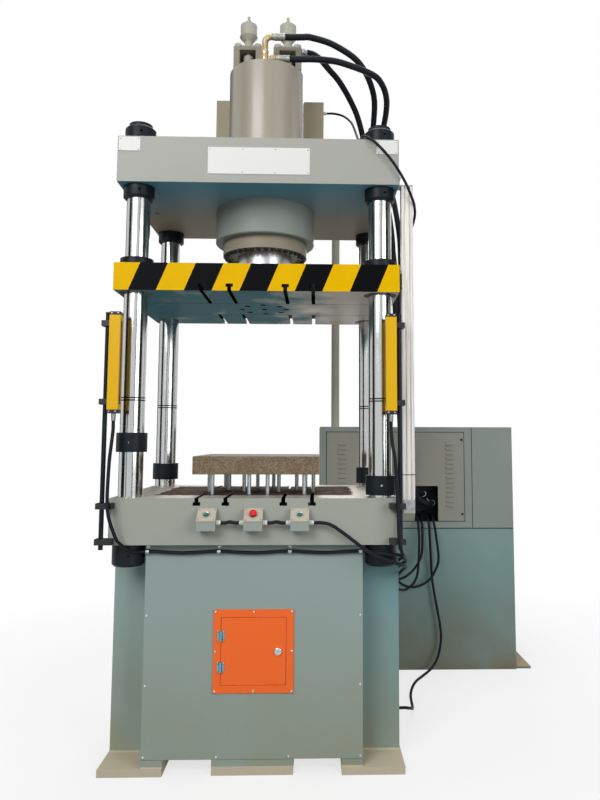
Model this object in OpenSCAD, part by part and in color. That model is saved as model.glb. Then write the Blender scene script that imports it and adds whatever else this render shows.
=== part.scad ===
// Four-column hydraulic press with a power unit.
// Millimetres, +Z up, front towards -Y, origin on the floor under the ram's axis.

/* [Base] */
// Height of the base, floor to the underside of the bolster
base_h = 780; // [700:5:860]
// Gap between the base's covers and the nuts beside them
cover_side = 10; // [8:1:40]
// Distance between the outer faces of the front and rear covers
cover_d = 608; // [560:2:620]
// Thickness of a sheet cover
cover_t = 3; // [2:0.5:5]
// Gap between a cover's top edge and the bolster
cover_gap = 2; // [1:0.5:5]
// Wall thickness of the welded base
base_wall = 20; // [12:1:25]
// Overhang of the legs beyond the bolster, each side
leg_out = 22; // [10:1:40]
// Depth of a leg, front to back
leg_d = 344; // [260:2:380]
// Thickness of a foot plate
foot_t = 25; // [15:1:35]
// Overhang of a foot plate beyond its leg
foot_out = 4; // [0:1:20]
// Height of the skids under the middle box
skid_h = 54; // [45:1:80]
// Width of a side skid
skid_w = 73; // [50:1:90]
// Width of the middle skid
mid_skid_w = 280; // [200:5:320]
// Width of the frame left around the windows behind the covers
window_border = 50; // [40:1:80]
// Diameter of a cover screw
screw_d = 5; // [4:0.5:6]
// Diameter of a cover screw's head
screw_head_d = 9; // [8:0.5:11]
// Length of a cover screw under its head
screw_l = 16; // [12:1:20]
// Distance of the cover screws from the cover's edges
screw_inset = 9; // [8:0.5:10]

/* [Access door] */
// Width of the door leaf
door_w = 224; // [160:2:240]
// Height of the door leaf
door_h = 226; // [180:2:260]
// Thickness of the door leaf
door_t = 3.5; // [2:0.5:3.5]
// Height of the door's middle above the floor
door_z = 413; // [380:1:440]
// Width of the border plate around the door
surround_border = 26; // [24:1:40]
// Distance of the border plate's screws from its edges
surround_inset = 7; // [6:0.5:8]
// Overlap of the leaf over the cover's opening
door_lap = 12; // [8:1:16]
// Height of a door hinge
hinge_h = 34; // [24:1:50]
// Distance between the middles of the two hinges
hinge_pitch = 105; // [80:1:120]
// Diameter of the door lock's head
lock_d = 26; // [23:1:32]
// Distance of the lock from the leaf's free edge
lock_inset = 27; // [26:1:40]

/* [Bolster] */
// Width of the bolster
bolster_w = 1000; // [980:5:1200]
// Depth of the bolster
bolster_d = 700; // [680:5:800]
// Thickness of the bolster
bolster_t = 160; // [120:5:200]
// Distance between neighbouring T-slots
slot_pitch = 100; // [80:1:120]
// Width of a T-slot's neck
slot_neck = 14; // [12:1:22]
// Width of a T-slot's head
slot_head = 26; // [24:1:36]
// Height of a T-slot's head
slot_head_h = 12; // [8:1:16]
// Depth of a T-slot's neck
slot_neck_h = 14; // [10:1:20]
// Length of a T-slot
slot_l = 234; // [180:2:250]

/* [Columns] */
// Diameter of a column
column_d = 85; // [70:1:90]
// Distance of a column's axis from the bolster's side
column_inset_x = 54; // [54:1:60]
// Distance of a column's axis from the bolster's front
column_inset_y = 67; // [64:1:80]
// Length of the column above its top nut
column_end = 14; // [6:1:30]
// Height of the reference grooves above the bolster
groove_z = 340; // [250:5:400]
// Diameter of the column nuts
nut_d = 112; // [106:1:114]
// Height of a nut under the bolster
lower_nut_h = 78; // [50:1:90]
// Height of a nut under the crosshead
support_nut_h = 48; // [36:1:70]
// Height of a nut on the crosshead
top_nut_h = 54; // [40:1:70]
// Diameter of a stop collar
collar_d = 108; // [100:1:112]
// Height of a stop collar
collar_h = 68; // [50:1:80]
// Height of the front left collar above the bolster
collar_front_left = 158; // [120:1:160]
// Height of the front right collar above the bolster
collar_front_right = 8; // [0:1:150]
// Height of the rear left collar above the bolster
collar_rear_left = 31; // [0:1:150]
// Height of the rear right collar above the bolster
collar_rear_right = 15; // [0:1:150]

/* [Slide] */
// Distance from the bolster to the slide at rest
daylight = 732; // [680:2:780]
// Thickness of the slide
slide_t = 100; // [80:2:120]
// Overhang of the slide beyond the bolster, each side
slide_out = 11; // [8:1:20]
// Depth of the slide
slide_d = 700; // [660:5:760]
// Thickness of a guide bush around the column
bush_wall = 13; // [9:0.5:14]
// Diameter of a guide bush's flange
flange_d = 120; // [116:1:124]
// Height of a guide bush's flange
flange_h = 25; // [15:1:40]
// Radial clearance of the sliding fits
running_gap = 0.1; // [0.05:0.01:0.1]

/* [Crosshead and cylinder] */
// Distance from the bolster to the crosshead
opening_h = 1130; // [1080:5:1200]
// Thickness of the crosshead
crosshead_t = 170; // [140:5:220]
// Overhang of the crosshead beyond the bolster, each side
crosshead_out = 11; // [8:1:20]
// Depth of the crosshead
crosshead_d = 700; // [680:5:760]
// Diameter of the cylinder's barrel
barrel_d = 310; // [300:2:340]
// Bore of the cylinder
bore_d = 240; // [230:2:244]
// Height of the barrel above the crosshead
barrel_up = 418; // [400:2:460]
// Thickness of the barrel's closed end
barrel_end_t = 60; // [40:2:70]
// Diameter of the lock ring
lock_ring_d = 400; // [370:2:440]
// Height of the lock ring
lock_ring_h = 135; // [100:1:140]
// Diameter of the gland ring
gland_d = 340; // [335:1:390]
// Height of the gland ring
gland_h = 51; // [40:1:60]
// Number of gland screws
gland_screws_n = 24; // [12:1:28]
// Diameter of the ram
ram_d = 220; // [200:2:224]
// Height of the piston on the ram
piston_h = 80; // [60:2:100]
// Distance from the piston to the barrel's closed end at rest
piston_room = 78; // [60:1:100]

/* [Prefill tank and valves] */
// Width of the prefill tank
fill_w = 480; // [400:5:520]
// Depth of the prefill tank
fill_d = 150; // [120:2:155]
// Height of the prefill tank
fill_h = 420; // [380:2:460]
// Distance of the prefill tank's front behind the ram's axis
fill_y = 195; // [190:1:200]
// Wall thickness of the prefill tank
fill_wall = 5; // [3:0.5:8]
// Distance of a prefill valve's axis from the middle
valve_x = 84; // [76:1:90]
// Distance of a prefill valve's axis behind the ram's axis
valve_y = 34; // [25:1:40]
// Width of a prefill valve's yoke
yoke_w = 118; // [100:1:124]
// Depth of a prefill valve's yoke
yoke_d = 110; // [100:1:120]
// Height of a prefill valve's yoke
yoke_h = 140; // [136:1:160]
// Diameter of a valve spindle
spindle_d = 42; // [30:1:46]
// Diameter of a valve actuator
actuator_d = 70; // [60:1:80]
// Height of a valve actuator
actuator_h = 114; // [100:1:130]
// Diameter of a prefill pipe
prefill_pipe_d = 56; // [40:1:60]
// Bend radius of a prefill pipe's axis
prefill_bend = 70; // [50:1:72]
// Diameter of the return pipe
return_pipe_d = 42; // [30:1:50]
// Wall thickness of the pipes
pipe_wall = 4; // [3:0.5:6]
// Distance of the return pipe's axis from the prefill tank's flange
return_out = 64; // [62:1:90]
// Distance of the return pipe's axis behind the tank's front
return_back = 65; // [50:1:100]
// Height of the return pipe's run above the crosshead
return_up = 180; // [140:1:200]
// Bend radius of the return pipe's axis
return_bend = 60; // [45:1:62]

/* [Hoses] */
// Diameter of a hydraulic hose
hose_d = 26; // [20:1:28]
// Diameter of a hose's crimped end
ferrule_d = 30; // [28:1:34]
// Diameter of a control lead
lead_d = 12; // [10:0.5:12]
// Diameter of the sensor's lead
sensor_lead_d = 10; // [8:0.5:10]

/* [Light curtains] */
// Width of a curtain housing
curtain_w = 38; // [30:1:40]
// Depth of a curtain housing
curtain_depth = 40; // [30:1:42]
// Length of a curtain, caps included
curtain_l = 354; // [300:2:400]
// Height of a curtain's lower end above the bolster
curtain_up = 292; // [280:1:340]
// Gap between the slide's front and the curtains
curtain_gap = 5; // [4:0.5:10]
// Distance of the curtain's axis from its pole's axis
curtain_off = 31; // [29:0.5:33]
// Diameter of a pole
pole_d = 16; // [12:1:18]
// Distance of the left pole from the bolster
left_pole_out = 18; // [14:1:20]
// Distance of the right pole from the bolster
right_pole_out = 6; // [5:1:20]
// Length of a pole below the bolster's top
pole_down = 172; // [165:1:190]

/* [Position sensor] */
// Width of the sensor's rail
rail_w = 42; // [34:1:50]
// Depth of the sensor's rail
rail_d = 40; // [30:1:50]
// Distance of the rail's axis behind the crosshead's front
rail_y = 50; // [40:1:70]
// Gap between the slide's side and the rail
rail_gap = 12; // [10:0.5:16]
// Height of the rail's lower end below the bolster's top
rail_down = 55; // [45:1:70]
// Height of the rail's upper end above the crosshead's underside
rail_up = 5; // [2:1:20]
// Thickness of a sensor bracket
bracket_t = 6; // [4:0.5:8]

/* [Button boxes] */
// Width of a button box
box_w = 64; // [50:1:70]
// Depth of a button box at its foot
box_d = 52; // [44:1:60]
// Depth of a button box at its top
box_top_d = 10; // [8:1:14]
// Height of a button box
box_h = 70; // [60:1:80]
// Height of a button box's front
box_front_h = 30; // [24:1:34]
// Distance between neighbouring boxes
box_pitch = 159; // [150:1:165]
// Distance from the bolster's top to a box's underside
box_drop = 106; // [90:1:130]
// Diameter of a start button
button_d = 16; // [12:0.5:18]
// Diameter of the emergency stop's head
stop_d = 26; // [22:1:30]
// Diameter of a cable gland
gland_fit_d = 18; // [16:1:22]

/* [Die cushion] */
// Width of the blank holder
holder_w = 466; // [440:2:500]
// Depth of the blank holder
holder_d = 440; // [420:2:480]
// Thickness of the blank holder
holder_t = 66; // [50:1:70]
// Height of the blank holder above the bolster at rest
holder_up = 75; // [75:1:76]
// Offset of the blank holder to the side
holder_shift = -7; // [-10:1:10]
// Diameter of a cushion pin
pin_d = 15; // [12:0.5:18]
// Distance between neighbouring pin columns
pin_pitch = 34; // [33:0.5:35]
// Clearance of a cushion pin in the bolster, all round
pin_gap = 1; // [0.5:0.1:2]
// Distance of the cushion's platen below the bolster at rest
platen_down = 85; // [83:1:90]
// Thickness of the cushion's platen
platen_t = 40; // [25:1:45]
// Diameter of the cushion's rod
rod_d = 120; // [90:2:130]
// Diameter of the cushion's cylinder
cushion_d = 200; // [180:2:220]
// Distance from the cushion's cylinder to its platen at rest
cushion_room = 95; // [80:1:110]

/* [Power unit] */
// Distance of the power unit's left side from the middle
unit_x = 234; // [220:1:250]
// Width of the power unit
unit_w = 991; // [900:5:1100]
// Distance of the power unit's front behind the ram's axis
unit_y = 755; // [740:1:800]
// Depth of the power unit
unit_d = 600; // [560:5:700]
// Height of the oil tank
tank_h = 696; // [690:1:710]
// Wall thickness of the oil tank
tank_wall = 6; // [4:0.5:8]
// Height of the cabinet on the tank
cabinet_h = 514; // [480:2:560]
// Thickness of the cabinet's sheet
cabinet_wall = 3; // [2:0.5:4]
// Width of the louvred panel
panel_w = 705; // [690:1:720]
// Height of the louvred panel
panel_h = 449; // [440:1:460]
// Distance of the louvred panel from the cabinet's left side
panel_x = 35; // [30:1:40]
// Height of the louvred panel above the tank
panel_up = 37; // [34:1:45]
// Lap of the louvred panel over the cabinet's opening
panel_lap = 18; // [12:1:22]
// Width of the hose opening
outlet_w = 119; // [110:1:130]
// Height of the hose opening
outlet_h = 176; // [170:1:190]
// Distance of the hose opening from the panel's left edge
outlet_x = 451; // [445:1:456]
// Number of louvres in a column
louvres_n = 14; // [8:1:16]
// Distance between neighbouring louvres
louvre_pitch = 24; // [20:1:26]
// Overhang of the tank's foot plates
tank_foot = 76; // [50:1:90]
// Diameter of the motor
motor_d = 240; // [200:2:260]
// Length of the motor
motor_l = 300; // [260:2:330]
// Diameter of the motor's shaft
shaft_d = 38; // [28:1:42]
// Width of the valve manifold
manifold_w = 150; // [150:1:160]
// Depth of the valve manifold
manifold_d = 120; // [100:1:140]
// Height of the valve manifold
manifold_h = 230; // [215:1:240]
// Distance of the manifold behind the power unit's front
manifold_back = 115; // [100:1:140]

/* [Hidden] */
// Clearance of seated pieces
seat = 0.2;
// Clearance of loose moving pieces
free_gap = 0.3;
// Overrun of a cut
cut = 1;
$fn = 64;
flange_t = 10;
screw_head_h = 4;
hinge_plate_w = 13;
hinge_plate_t = 2;
hinge_pin_r = 2.5;
knuckle_r = 5;
lock_barrel_d = 20;
cam_l = 34;
groove_w = 3;
groove_depth = 0.8;
nut_chamfer = 7;
spanner_hole_d = 9;
bush_ring_t = 8;
ram_screw_circle = 90;
ram_screw_d = 24;
gland_screw_head_d = 16;
yoke_plate = 15;
yoke_post = 25;
yoke_window_d = 80;
clamp_h = 20;
box_wall = 3;
lid_t = 4;
gland_fit_l = 16;
louvre_w = 38;
tank_foot_t = 10;
curtain_cap_h = 12;
surround_t = 4;
door_gap = 1.5;

paint = "#9aa49b";
pale_paint = "#b3aca0";
black = "#22262b";
steel = "#b9bcbc";
chrome = "#d4d8da";
orange = "#e8662b";
yellow = "#e2b11c";
rubber = "#17191c";

bolster_top = base_h + bolster_t;
slide_z = bolster_top + daylight;
slide_top = slide_z + slide_t;
head_z = bolster_top + opening_h;
head_top = head_z + crosshead_t;
barrel_top = head_top + barrel_up;
gland_top = head_z - lock_ring_h;
gland_z = gland_top - gland_h;
column_r = column_d / 2;
column_x = bolster_w / 2 - column_inset_x;
column_y = bolster_d / 2 - column_inset_y;
cover_w = 2 * (column_x - nut_d / 2 - cover_side);
slide_w = bolster_w + 2 * slide_out;
head_w = bolster_w + 2 * crosshead_out;
leg_x = bolster_w / 2 + leg_out;
foot_x = leg_x + foot_out;
foot_d = cover_d + 2 * cover_t;
middle_d = cover_d - 2 * cover_t;
cover_y = cover_d / 2;
cover_top = base_h - cover_gap;
floor_z = skid_h + base_wall;
front_y = -bolster_d / 2;

screw_r = screw_d / 2;
screw_x = [for (k = [-1, -1/3, 1/3, 1]) k * (cover_w / 2 - screw_inset)];
screw_z = [for (k = [0 : 3]) skid_h + screw_inset
    + k * (cover_top - skid_h - 2 * screw_inset) / 3];
cover_screws_xz = [for (i = [0 : 3], k = [0 : 3]) if (k % 3 == 0 || i % 3 == 0) [screw_x[i], screw_z[k]]];
surround_w = door_w + 2 * (door_gap + surround_border);
surround_h = door_h + 2 * (door_gap + surround_border);
surround_y = cover_y + surround_t;
surround_screws_xz = [for (i = [-1 : 1], k = [-1 : 1]) if (i != 0 || k != 0)
    [i * (surround_w / 2 - surround_inset), door_z + k * (surround_h / 2 - surround_inset)]];
hinge_x = -(door_w + door_gap) / 2;
hinge_y = -surround_y - knuckle_r - free_gap;
lock_x = door_w / 2 - lock_inset;
lock_barrel_r = lock_barrel_d / 2;
cam_t = 3;
cam_w = 12;
lock_head_h = 6;

collar_rise = [[collar_front_left, collar_rear_left], [collar_front_right, collar_rear_right]];
bush_r = column_r + bush_wall;
ram_r = ram_d / 2;
bore_r = bore_d / 2;
barrel_r = barrel_d / 2;
bore_top = barrel_top - barrel_end_t;
piston_top = bore_top - piston_room;
gland_screw_r = (bore_r + barrel_r) / 2;
gland_screw_head_h = 10;
gland_screw_d = 10;
gland_screw_l = 60;

fill_top = head_top + fill_h;
yoke_z = barrel_top;
yoke_top = yoke_z + yoke_h;
yoke_y = valve_y - yoke_d / 2 + 15;
spindle_r = spindle_d / 2;
spindle_low = 18;
stem_r = 9;
actuator_bore_h = 50;
prefill_y = fill_y + fill_d / 2;
prefill_z = yoke_z + yoke_h * 0.55;
return_y = unit_y + return_back;
return_x = fill_w / 2 + flange_t + return_out;
return_z = head_top + return_up;
tank_dip = 300;
pipe_flange_d = 80;

fitting_x = -4;
fitting_y = -90;
fitting_low = 38;
fitting_high = 132;
fitting_low_z = barrel_top + fitting_low;
fitting_high_z = barrel_top + fitting_high;
fitting_d = 26;
fitting_bend = 25;
fitting_nut_d = 36;
fitting_low_x = 47;
fitting_high_x = 28;
ferrule_l = 50;
yoke_back = yoke_y + yoke_d;

pole_y = front_y - 20;
curtain_y = -slide_d / 2 - curtain_gap - curtain_depth / 2;
curtain_z = bolster_top + curtain_up;
pole_x = [-bolster_w / 2 - left_pole_out, bolster_w / 2 + right_pole_out];
curtain_x = pole_x + [curtain_off, -curtain_off];
connector_d = 16;
connector_l = 25;
clamp_front = 16;

rail_x = slide_w / 2 + rail_gap;
rail_mid_y = -crosshead_d / 2 + rail_y;
rail_z = bolster_top - rail_down;
rail_top = head_z + rail_up;
connector_drop = 210;
connector_z = head_z - connector_drop;
connector_w = 24;

box_z = bolster_top - box_drop;
box_x = [-box_pitch, 0, box_pitch];
lid_tilt = atan2(box_h - box_front_h, box_d - box_top_d);
lid_l = norm([box_d - box_top_d, box_h - box_front_h]);
lid_y = front_y - (box_d + box_top_d) / 2;
lid_z = box_z + (box_front_h + box_h) / 2;
button_out = 3;
button_in = 14;
stop_gap = 6;
stop_head_h = 9;
box_gland_y = front_y - 28;
box_gland_z = box_z + 25;
leg_gland_y = 90;
leg_gland_z = 70;
fill_gland_y = 230;
fill_gland_z = fill_top - 35;

clip_t = 2;
clip_w = 12;
clip_drop = 15;
clip_tab = 7;
lead_sag = 5;
lead_out = 12;
lead_y = -cover_y - lead_out;
lead_z = screw_z[3] - clip_drop;

holder_z = bolster_top + holder_up;
platen_top = base_h - platen_down;
platen_w = 480;
platen_d = 440;
pin_r = pin_d / 2;
pin_rows = platen_d / 44 * [-19, -4, 4, 19];
pin_steps = [[-5, -1, 1, 5], [-6, -2, 2, 6], [-4, 4], [-5, -1, 1, 5]];
pins_xy = [for (i = [0 : 3]) for (k = pin_steps[i]) [k * pin_pitch, pin_rows[i]]];
cushion_top = platen_top - platen_t - cushion_room;
rod_up = 130;
rod_low = floor_z + rod_up;
rod_r = rod_d / 2;

unit_top = tank_h + cabinet_h;
panel_z = tank_h + panel_up;
panel_left = unit_x + panel_x;
outlet_left = panel_left + outlet_x;
louvre_h = 9;
louvre_x = [78, 631];
louvre_up = 72;
seam_x = 780;
seam_w = 3;
motor_y = unit_y + unit_d * 19 / 30;
motor_z = tank_h + motor_d / 2 + 20;
motor_x = unit_x + 90;
motor_right = motor_x + motor_l;
coupling_d = 90;
coupling_l = 40;
pump_d = 130;
pump_l = 160;
pump_x = motor_right + 60;
shaft_r = shaft_d / 2;
manifold_x = outlet_left + outlet_w / 2 - manifold_w / 2;
manifold_y = unit_y + manifold_back;
fin_n = 20;
manifold_end = [manifold_x, manifold_y, tank_h];
manifold_start = [704.5, 870, 696];
hose_ends = [[fitting_high_x + ferrule_l, fitting_y, fitting_high_z],
    [fitting_low_x + ferrule_l, fitting_y, fitting_low_z],
    [valve_x + yoke_w / 2, yoke_y + 16, yoke_top - 14]];
curtain_ends = [for (x = curtain_x) [x, curtain_y, curtain_z - connector_l]];
sensor_ends = [[fill_w / 2 + gland_fit_l - 2, fill_gland_y, fill_gland_z],
    [rail_x + rail_w - connector_w / 2, rail_mid_y + (rail_d + connector_w) / 2, connector_z]];
button_lead_end = [box_x[2] + box_w / 2 + gland_fit_l, box_gland_y, box_gland_z];
fin_t = 5;
fin_h = 14;

// Routes of the hoses and leads, chosen by hand
hose_upper_route = [[78, -90, 2790], [115, -90, 2790], [150, -87, 2793], [188, -78, 2797], [285, -40, 2787],
    [395, 25, 2744], [460, 115, 2652], [468, 240, 2548], [485, 310, 2475], [520, 370, 2370],
    [552, 400, 2240], [572, 412, 2100], [578, 415, 1950], [592, 440, 1650], [601, 468, 1480],
    [612, 510, 1310], [626, 572, 1160], [640, 632, 1040], [668, 686, 900], [700, 716, 854], [738, 748, 832],
    [759, 768, 829], [782, 804, 827], [790, 843, 826], [790, 870, 826]];
hose_lower_route = [[97, -90, 2696], [140, -90, 2696], [190, -92, 2696], [250, -91, 2693], [315, -80, 2688],
    [440, -20, 2676], [488, 25, 2655], [512, 80, 2622], [516, 140, 2585], [510, 205, 2540],
    [512, 280, 2475], [545, 350, 2380], [582, 390, 2250], [606, 402, 2100], [612, 405, 1950],
    [626, 430, 1650], [636, 458, 1480], [647, 500, 1310], [660, 558, 1160], [674, 616, 1040],
    [684, 642, 965], [704, 668, 896], [738, 700, 846], [776, 736, 824], [806, 780, 818], [820, 830, 818],
    [820, 870, 818]];
hose_rear_route = [[143, 10, 2784], [163, 10, 2784], [194, 15, 2779], [226, 34, 2766], [262, 70, 2744],
    [308, 124, 2720], [362, 196, 2668], [404, 256, 2600], [455, 348, 2450], [486, 390, 2360],
    [522, 422, 2260], [560, 442, 2140], [585, 449, 2000], [606, 472, 1700], [617, 498, 1540],
    [628, 534, 1380], [640, 584, 1230], [662, 676, 1030], [700, 718, 918], [734, 744, 886], [762, 782, 870],
    [775, 830, 864], [775, 870, 864]];
sensor_route = [[254, 230, 2625], [288, 230, 2625], [325, 210, 2606], [350, 158, 2562], [366, 84, 2500],
    [376, -80, 2368], [372, -230, 2284], [383, -334, 2259], [420, -371, 2222], [477, -371, 2160],
    [527, -365, 2084], [562, -337, 2020], [572, -317, 1996], [576, -294, 1974], [572, -276, 1950],
    [563, -268, 1926], [555, -267, 1904], [553, -268, 1882], [553, -268, 1860]];
button_route = [[207, -378, 859], [235, -378, 859], [268, -380, 851], [312, -381, 822], [404, -381, 756],
    [488, -383, 724], [529, -324, 702], [532, -190, 662], [532, 60, 578], [538, 190, 534], [560, 320, 494],
    [622, 520, 440], [660, 588, 434], [696, 626, 456], [716, 642, 506], [727, 664, 630], [729, 688, 690],
    [730, 724, 738], [731, 776, 765], [728, 830, 772], [728, 870, 772]];
curtain_left_route = [[-487, -375, 1207], [-487, -375, 1172], [-489, -384, 1120], [-492, -392, 1050],
    [-491, -396, 905], [-466, -386, 815], [-450, -372, 786], [-421, -344, 759], [-409, -335, 755],
    [-398, -325, 754], [-385, -318, 754], [-371, -316, 754]];
leg_route = [[371, -316, 754], [385, -318, 754], [398, -325, 754], [409, -335, 754], [421, -344, 753],
    [456, -357, 750], [504, -345, 745], [530, -295, 733], [531, -180, 706], [531, 70, 640], [536, 210, 602],
    [552, 350, 560], [580, 462, 516], [616, 560, 466], [664, 644, 430], [720, 690, 420], [778, 704, 446],
    [814, 706, 498], [830, 707, 556], [818, 711, 672], [812, 725, 722], [811, 756, 747], [812, 800, 754],
    [812, 870, 754]];
curtain_right_route = [[475, -375, 1207], [475, -375, 1172], [479, -385, 1122], [487, -393, 1066],
    [494, -398, 930], [498, -398, 810], [512, -378, 750], [531, -310, 720], [532, -150, 676],
    [532, 110, 598], [541, 240, 556], [566, 370, 522], [602, 480, 498], [644, 574, 490], [688, 642, 504],
    [724, 678, 538], [744, 692, 586], [750, 708, 690], [750, 732, 732], [753, 772, 751], [757, 826, 754],
    [757, 870, 754]];
supply_route = [[784, 870, 768], [784, 838, 768], [784, 806, 763], [784, 778, 754], [784, 728, 730],
    [786, 706, 676], [796, 724, 500], [806, 724, 400], [838, 720, 210], [836, 718, 130], [816, 706, 66],
    [782, 682, 28], [736, 640, 10], [692, 570, 8], [660, 480, 8], [640, 380, 8], [626, 222, 20],
    [607, 138, 50], [596, 112, 60], [580, 96, 68], [559, 90, 70], [538, 90, 70]];
supply_ends = [supply_route[0] + manifold_end - manifold_start,
    [leg_x + gland_fit_l, leg_gland_y, leg_gland_z]];
link_route = [[0, 0, 0], [14, 0, 0], [31, 0, 3], [49, 0, 0], [63, 0, 0]];

// Box centred on x and y, standing on z = 0
module block(size) {
    translate([-size.x / 2, -size.y / 2, 0])
        cube(size);
}

// Ring standing on z = 0
module ring(r_out, r_in, h) {
    difference() {
        cylinder(r = r_out, h = h);
        translate([0, 0, -cut])
            cylinder(r = r_in, h = h + 2 * cut);
    }
}

// Cylinder along +X from x = 0
module rod_x(r, l) {
    rotate([0, 90, 0])
        cylinder(r = r, h = l);
}

// Cylinder along +Y from y = 0
module rod_y(r, l) {
    rotate([-90, 0, 0])
        cylinder(r = r, h = l);
}

// Children at the four column axes
module at_columns() {
    for (sx = [-1, 1], sy = [-1, 1])
        translate([sx * column_x, sy * column_y, 0])
            children();
}

// Four vertical bores for the columns
module column_bores(r, z, h) {
    at_columns()
        translate([0, 0, z - cut])
            cylinder(r = r, h = h + 2 * cut);
}

// Smooth curve through a route, and a route moved to run from a to b
function route_point(p, i) = i < 0 ? 2 * p[0] - p[1]
    : i >= len(p) ? 2 * p[len(p) - 1] - p[len(p) - 2] : p[i];
function blend_point(a, b, c, d, t) = 0.5 * (2 * b + (c - a) * t + (2 * a - 5 * b + 4 * c - d) * t * t
    + (3 * b - a - 3 * c + d) * t * t * t);
function smooth_route(p, n) = [for (i = [0 : len(p) - 2], k = [0 : n - 1])
    blend_point(route_point(p, i - 1), p[i], p[i + 1], route_point(p, i + 2), k / n), p[len(p) - 1]];
function fitted(p, a, b) = let (n = len(p) - 1)
    [for (i = [0 : n]) p[i] + (a - p[0]) * (1 - i / n) + (b - p[n]) * i / n];
function on_manifold(p) = p[len(p) - 1] + manifold_end - manifold_start;
function unit(v) = v / norm(v);
function headings(r, first, last) = [for (i = [0 : len(r) - 1])
    i == 0 ? unit(first) : i == len(r) - 1 ? unit(last) : unit(r[i + 1] - r[i - 1])];
function flat_to(v, t) = unit(v - t * (v * t));
function side_vectors(t, i, found) = i == len(t) ? found
    : side_vectors(t, i + 1, concat(found, [flat_to(found[i - 1], t[i])]));

// Round cord of diameter d along route p, with n rings for each stretch
module cord(p, d, n) {
    sides = 10;
    r = smooth_route(p, n);
    last = len(p) - 1;
    t = headings(r, p[1] - p[0], p[last] - p[last - 1]);
    start = abs(t[0].z) < 0.9 ? [0, 0, 1] : [1, 0, 0];
    s = side_vectors(t, 1, [flat_to(start, t[0])]);
    ends = len(r) - 1;
    points = [for (i = [0 : ends], k = [0 : sides - 1])
        r[i] + d / 2 * (cos(360 * k / sides) * s[i] + sin(360 * k / sides) * cross(t[i], s[i]))];
    wall = [for (i = [0 : ends - 1], k = [0 : sides - 1], h = [0, 1]) let (m = (k + 1) % sides)
        h == 0 ? [i * sides + k, (i + 1) * sides + m, i * sides + m]
            : [i * sides + k, (i + 1) * sides + k, (i + 1) * sides + m]];
    caps = [[for (k = [0 : sides - 1]) k], [for (k = [sides - 1 : -1 : 0]) ends * sides + k]];
    polyhedron(points, concat(wall, caps));
}

// Welded base: a middle box, legs, foot plates and skids
module base_frame() {
    leg_in = cover_w / 2 - base_wall;
    window_w = cover_w - 2 * window_border;
    window_z = floor_z + window_border / 2;
    window_h = base_h - window_border - window_z;
    color(paint) difference() {
        union() {
            translate([0, 0, skid_h])
                block([cover_w, middle_d, base_h - skid_h]);
            block([mid_skid_w, middle_d, skid_h]);
            for (s = [-1, 1]) {
                translate([s * (leg_in + leg_x) / 2, 0, 0])
                    block([leg_x - leg_in, leg_d, base_h]);
                translate([s * (cover_w / 2 - skid_w + foot_x) / 2, 0, 0])
                    block([foot_x - cover_w / 2 + skid_w, foot_d, foot_t]);
                translate([s * (cover_w - skid_w) / 2, 0, 0])
                    block([skid_w, middle_d, skid_h]);
            }
        }
        translate([0, 0, floor_z])
            block([cover_w - 2 * base_wall, middle_d - 2 * base_wall, base_h]);
        for (s = [-1, 1]) {
            translate([s * (cover_w / 2 + leg_x - base_wall) / 2, 0, foot_t])
                block([leg_x - base_wall - cover_w / 2, leg_d - 2 * base_wall, base_h]);
            translate([s * leg_in, 0, floor_z])
                block([3 * base_wall, leg_d - 2 * base_wall, base_h]);
            translate([0, s * middle_d / 2, window_z])
                block([window_w, 3 * base_wall, window_h]);
            for (q = cover_screws_xz)
                translate([q.x, s * (middle_d / 2 - base_wall / 2), q.y])
                    rotate([90, 0, 0])
                        cylinder(r = screw_r + seat, h = base_wall + 2 * cut, center = true);
        }
        translate([leg_x - base_wall / 2, leg_gland_y, leg_gland_z])
            rotate([0, 90, 0])
                cylinder(r = lead_d / 2, h = base_wall + 2 * cut, center = true);
    }
}

// Sheet cover in front of y = 0 with its screw holes
module cover_sheet() {
    difference() {
        translate([-cover_w / 2, -cover_t, skid_h])
            cube([cover_w, cover_t, cover_top - skid_h]);
        for (q = cover_screws_xz)
            translate([q.x, -cover_t - cut, q.y])
                rod_y(screw_r + seat, cover_t + 2 * cut);
    }
}

// Front cover with the door's opening, and the rear cover
module base_covers() {
    color(paint) {
        translate([0, -middle_d / 2, 0])
            difference() {
                cover_sheet();
                translate([0, 0, door_z - door_h / 2 + door_lap])
                    block([door_w - 2 * door_lap, 4 * cover_t, door_h - 2 * door_lap]);
                for (q = surround_screws_xz)
                    translate([q.x, -cover_t - cut, q.y])
                        rod_y(screw_r + seat, cover_t + 2 * cut);
            }
        rotate([0, 0, 180])
            translate([0, -middle_d / 2, 0])
                cover_sheet();
    }
}

// Domed screw pointing to +Y, its head's underside at y = 0
module cover_screw() {
    rod_y(screw_r, screw_l);
    translate([0, -screw_head_h / 2, 0])
        rod_y(screw_head_d / 2, screw_head_h / 2);
    translate([0, -screw_head_h, 0])
        rotate([-90, 0, 0])
            cylinder(r1 = screw_head_d / 4, r2 = screw_head_d / 2, h = screw_head_h / 2);
}

// Screws of both covers and of the door's border plate
module cover_screws() {
    color(steel) {
        for (q = cover_screws_xz) {
            translate([q.x, -cover_y - (q.y == screw_z[3] ? clip_t : 0), q.y])
                cover_screw();
            rotate([0, 0, 180])
                translate([q.x, -cover_y, q.y])
                    cover_screw();
        }
        for (q = surround_screws_xz)
            translate([q.x, -surround_y, q.y])
                cover_screw();
    }
}

// Children at both hinges, on the hinge axis
module at_hinges() {
    for (k = [-1, 1])
        translate([hinge_x, hinge_y, door_z + k * hinge_pitch / 2])
            children();
}

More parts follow.
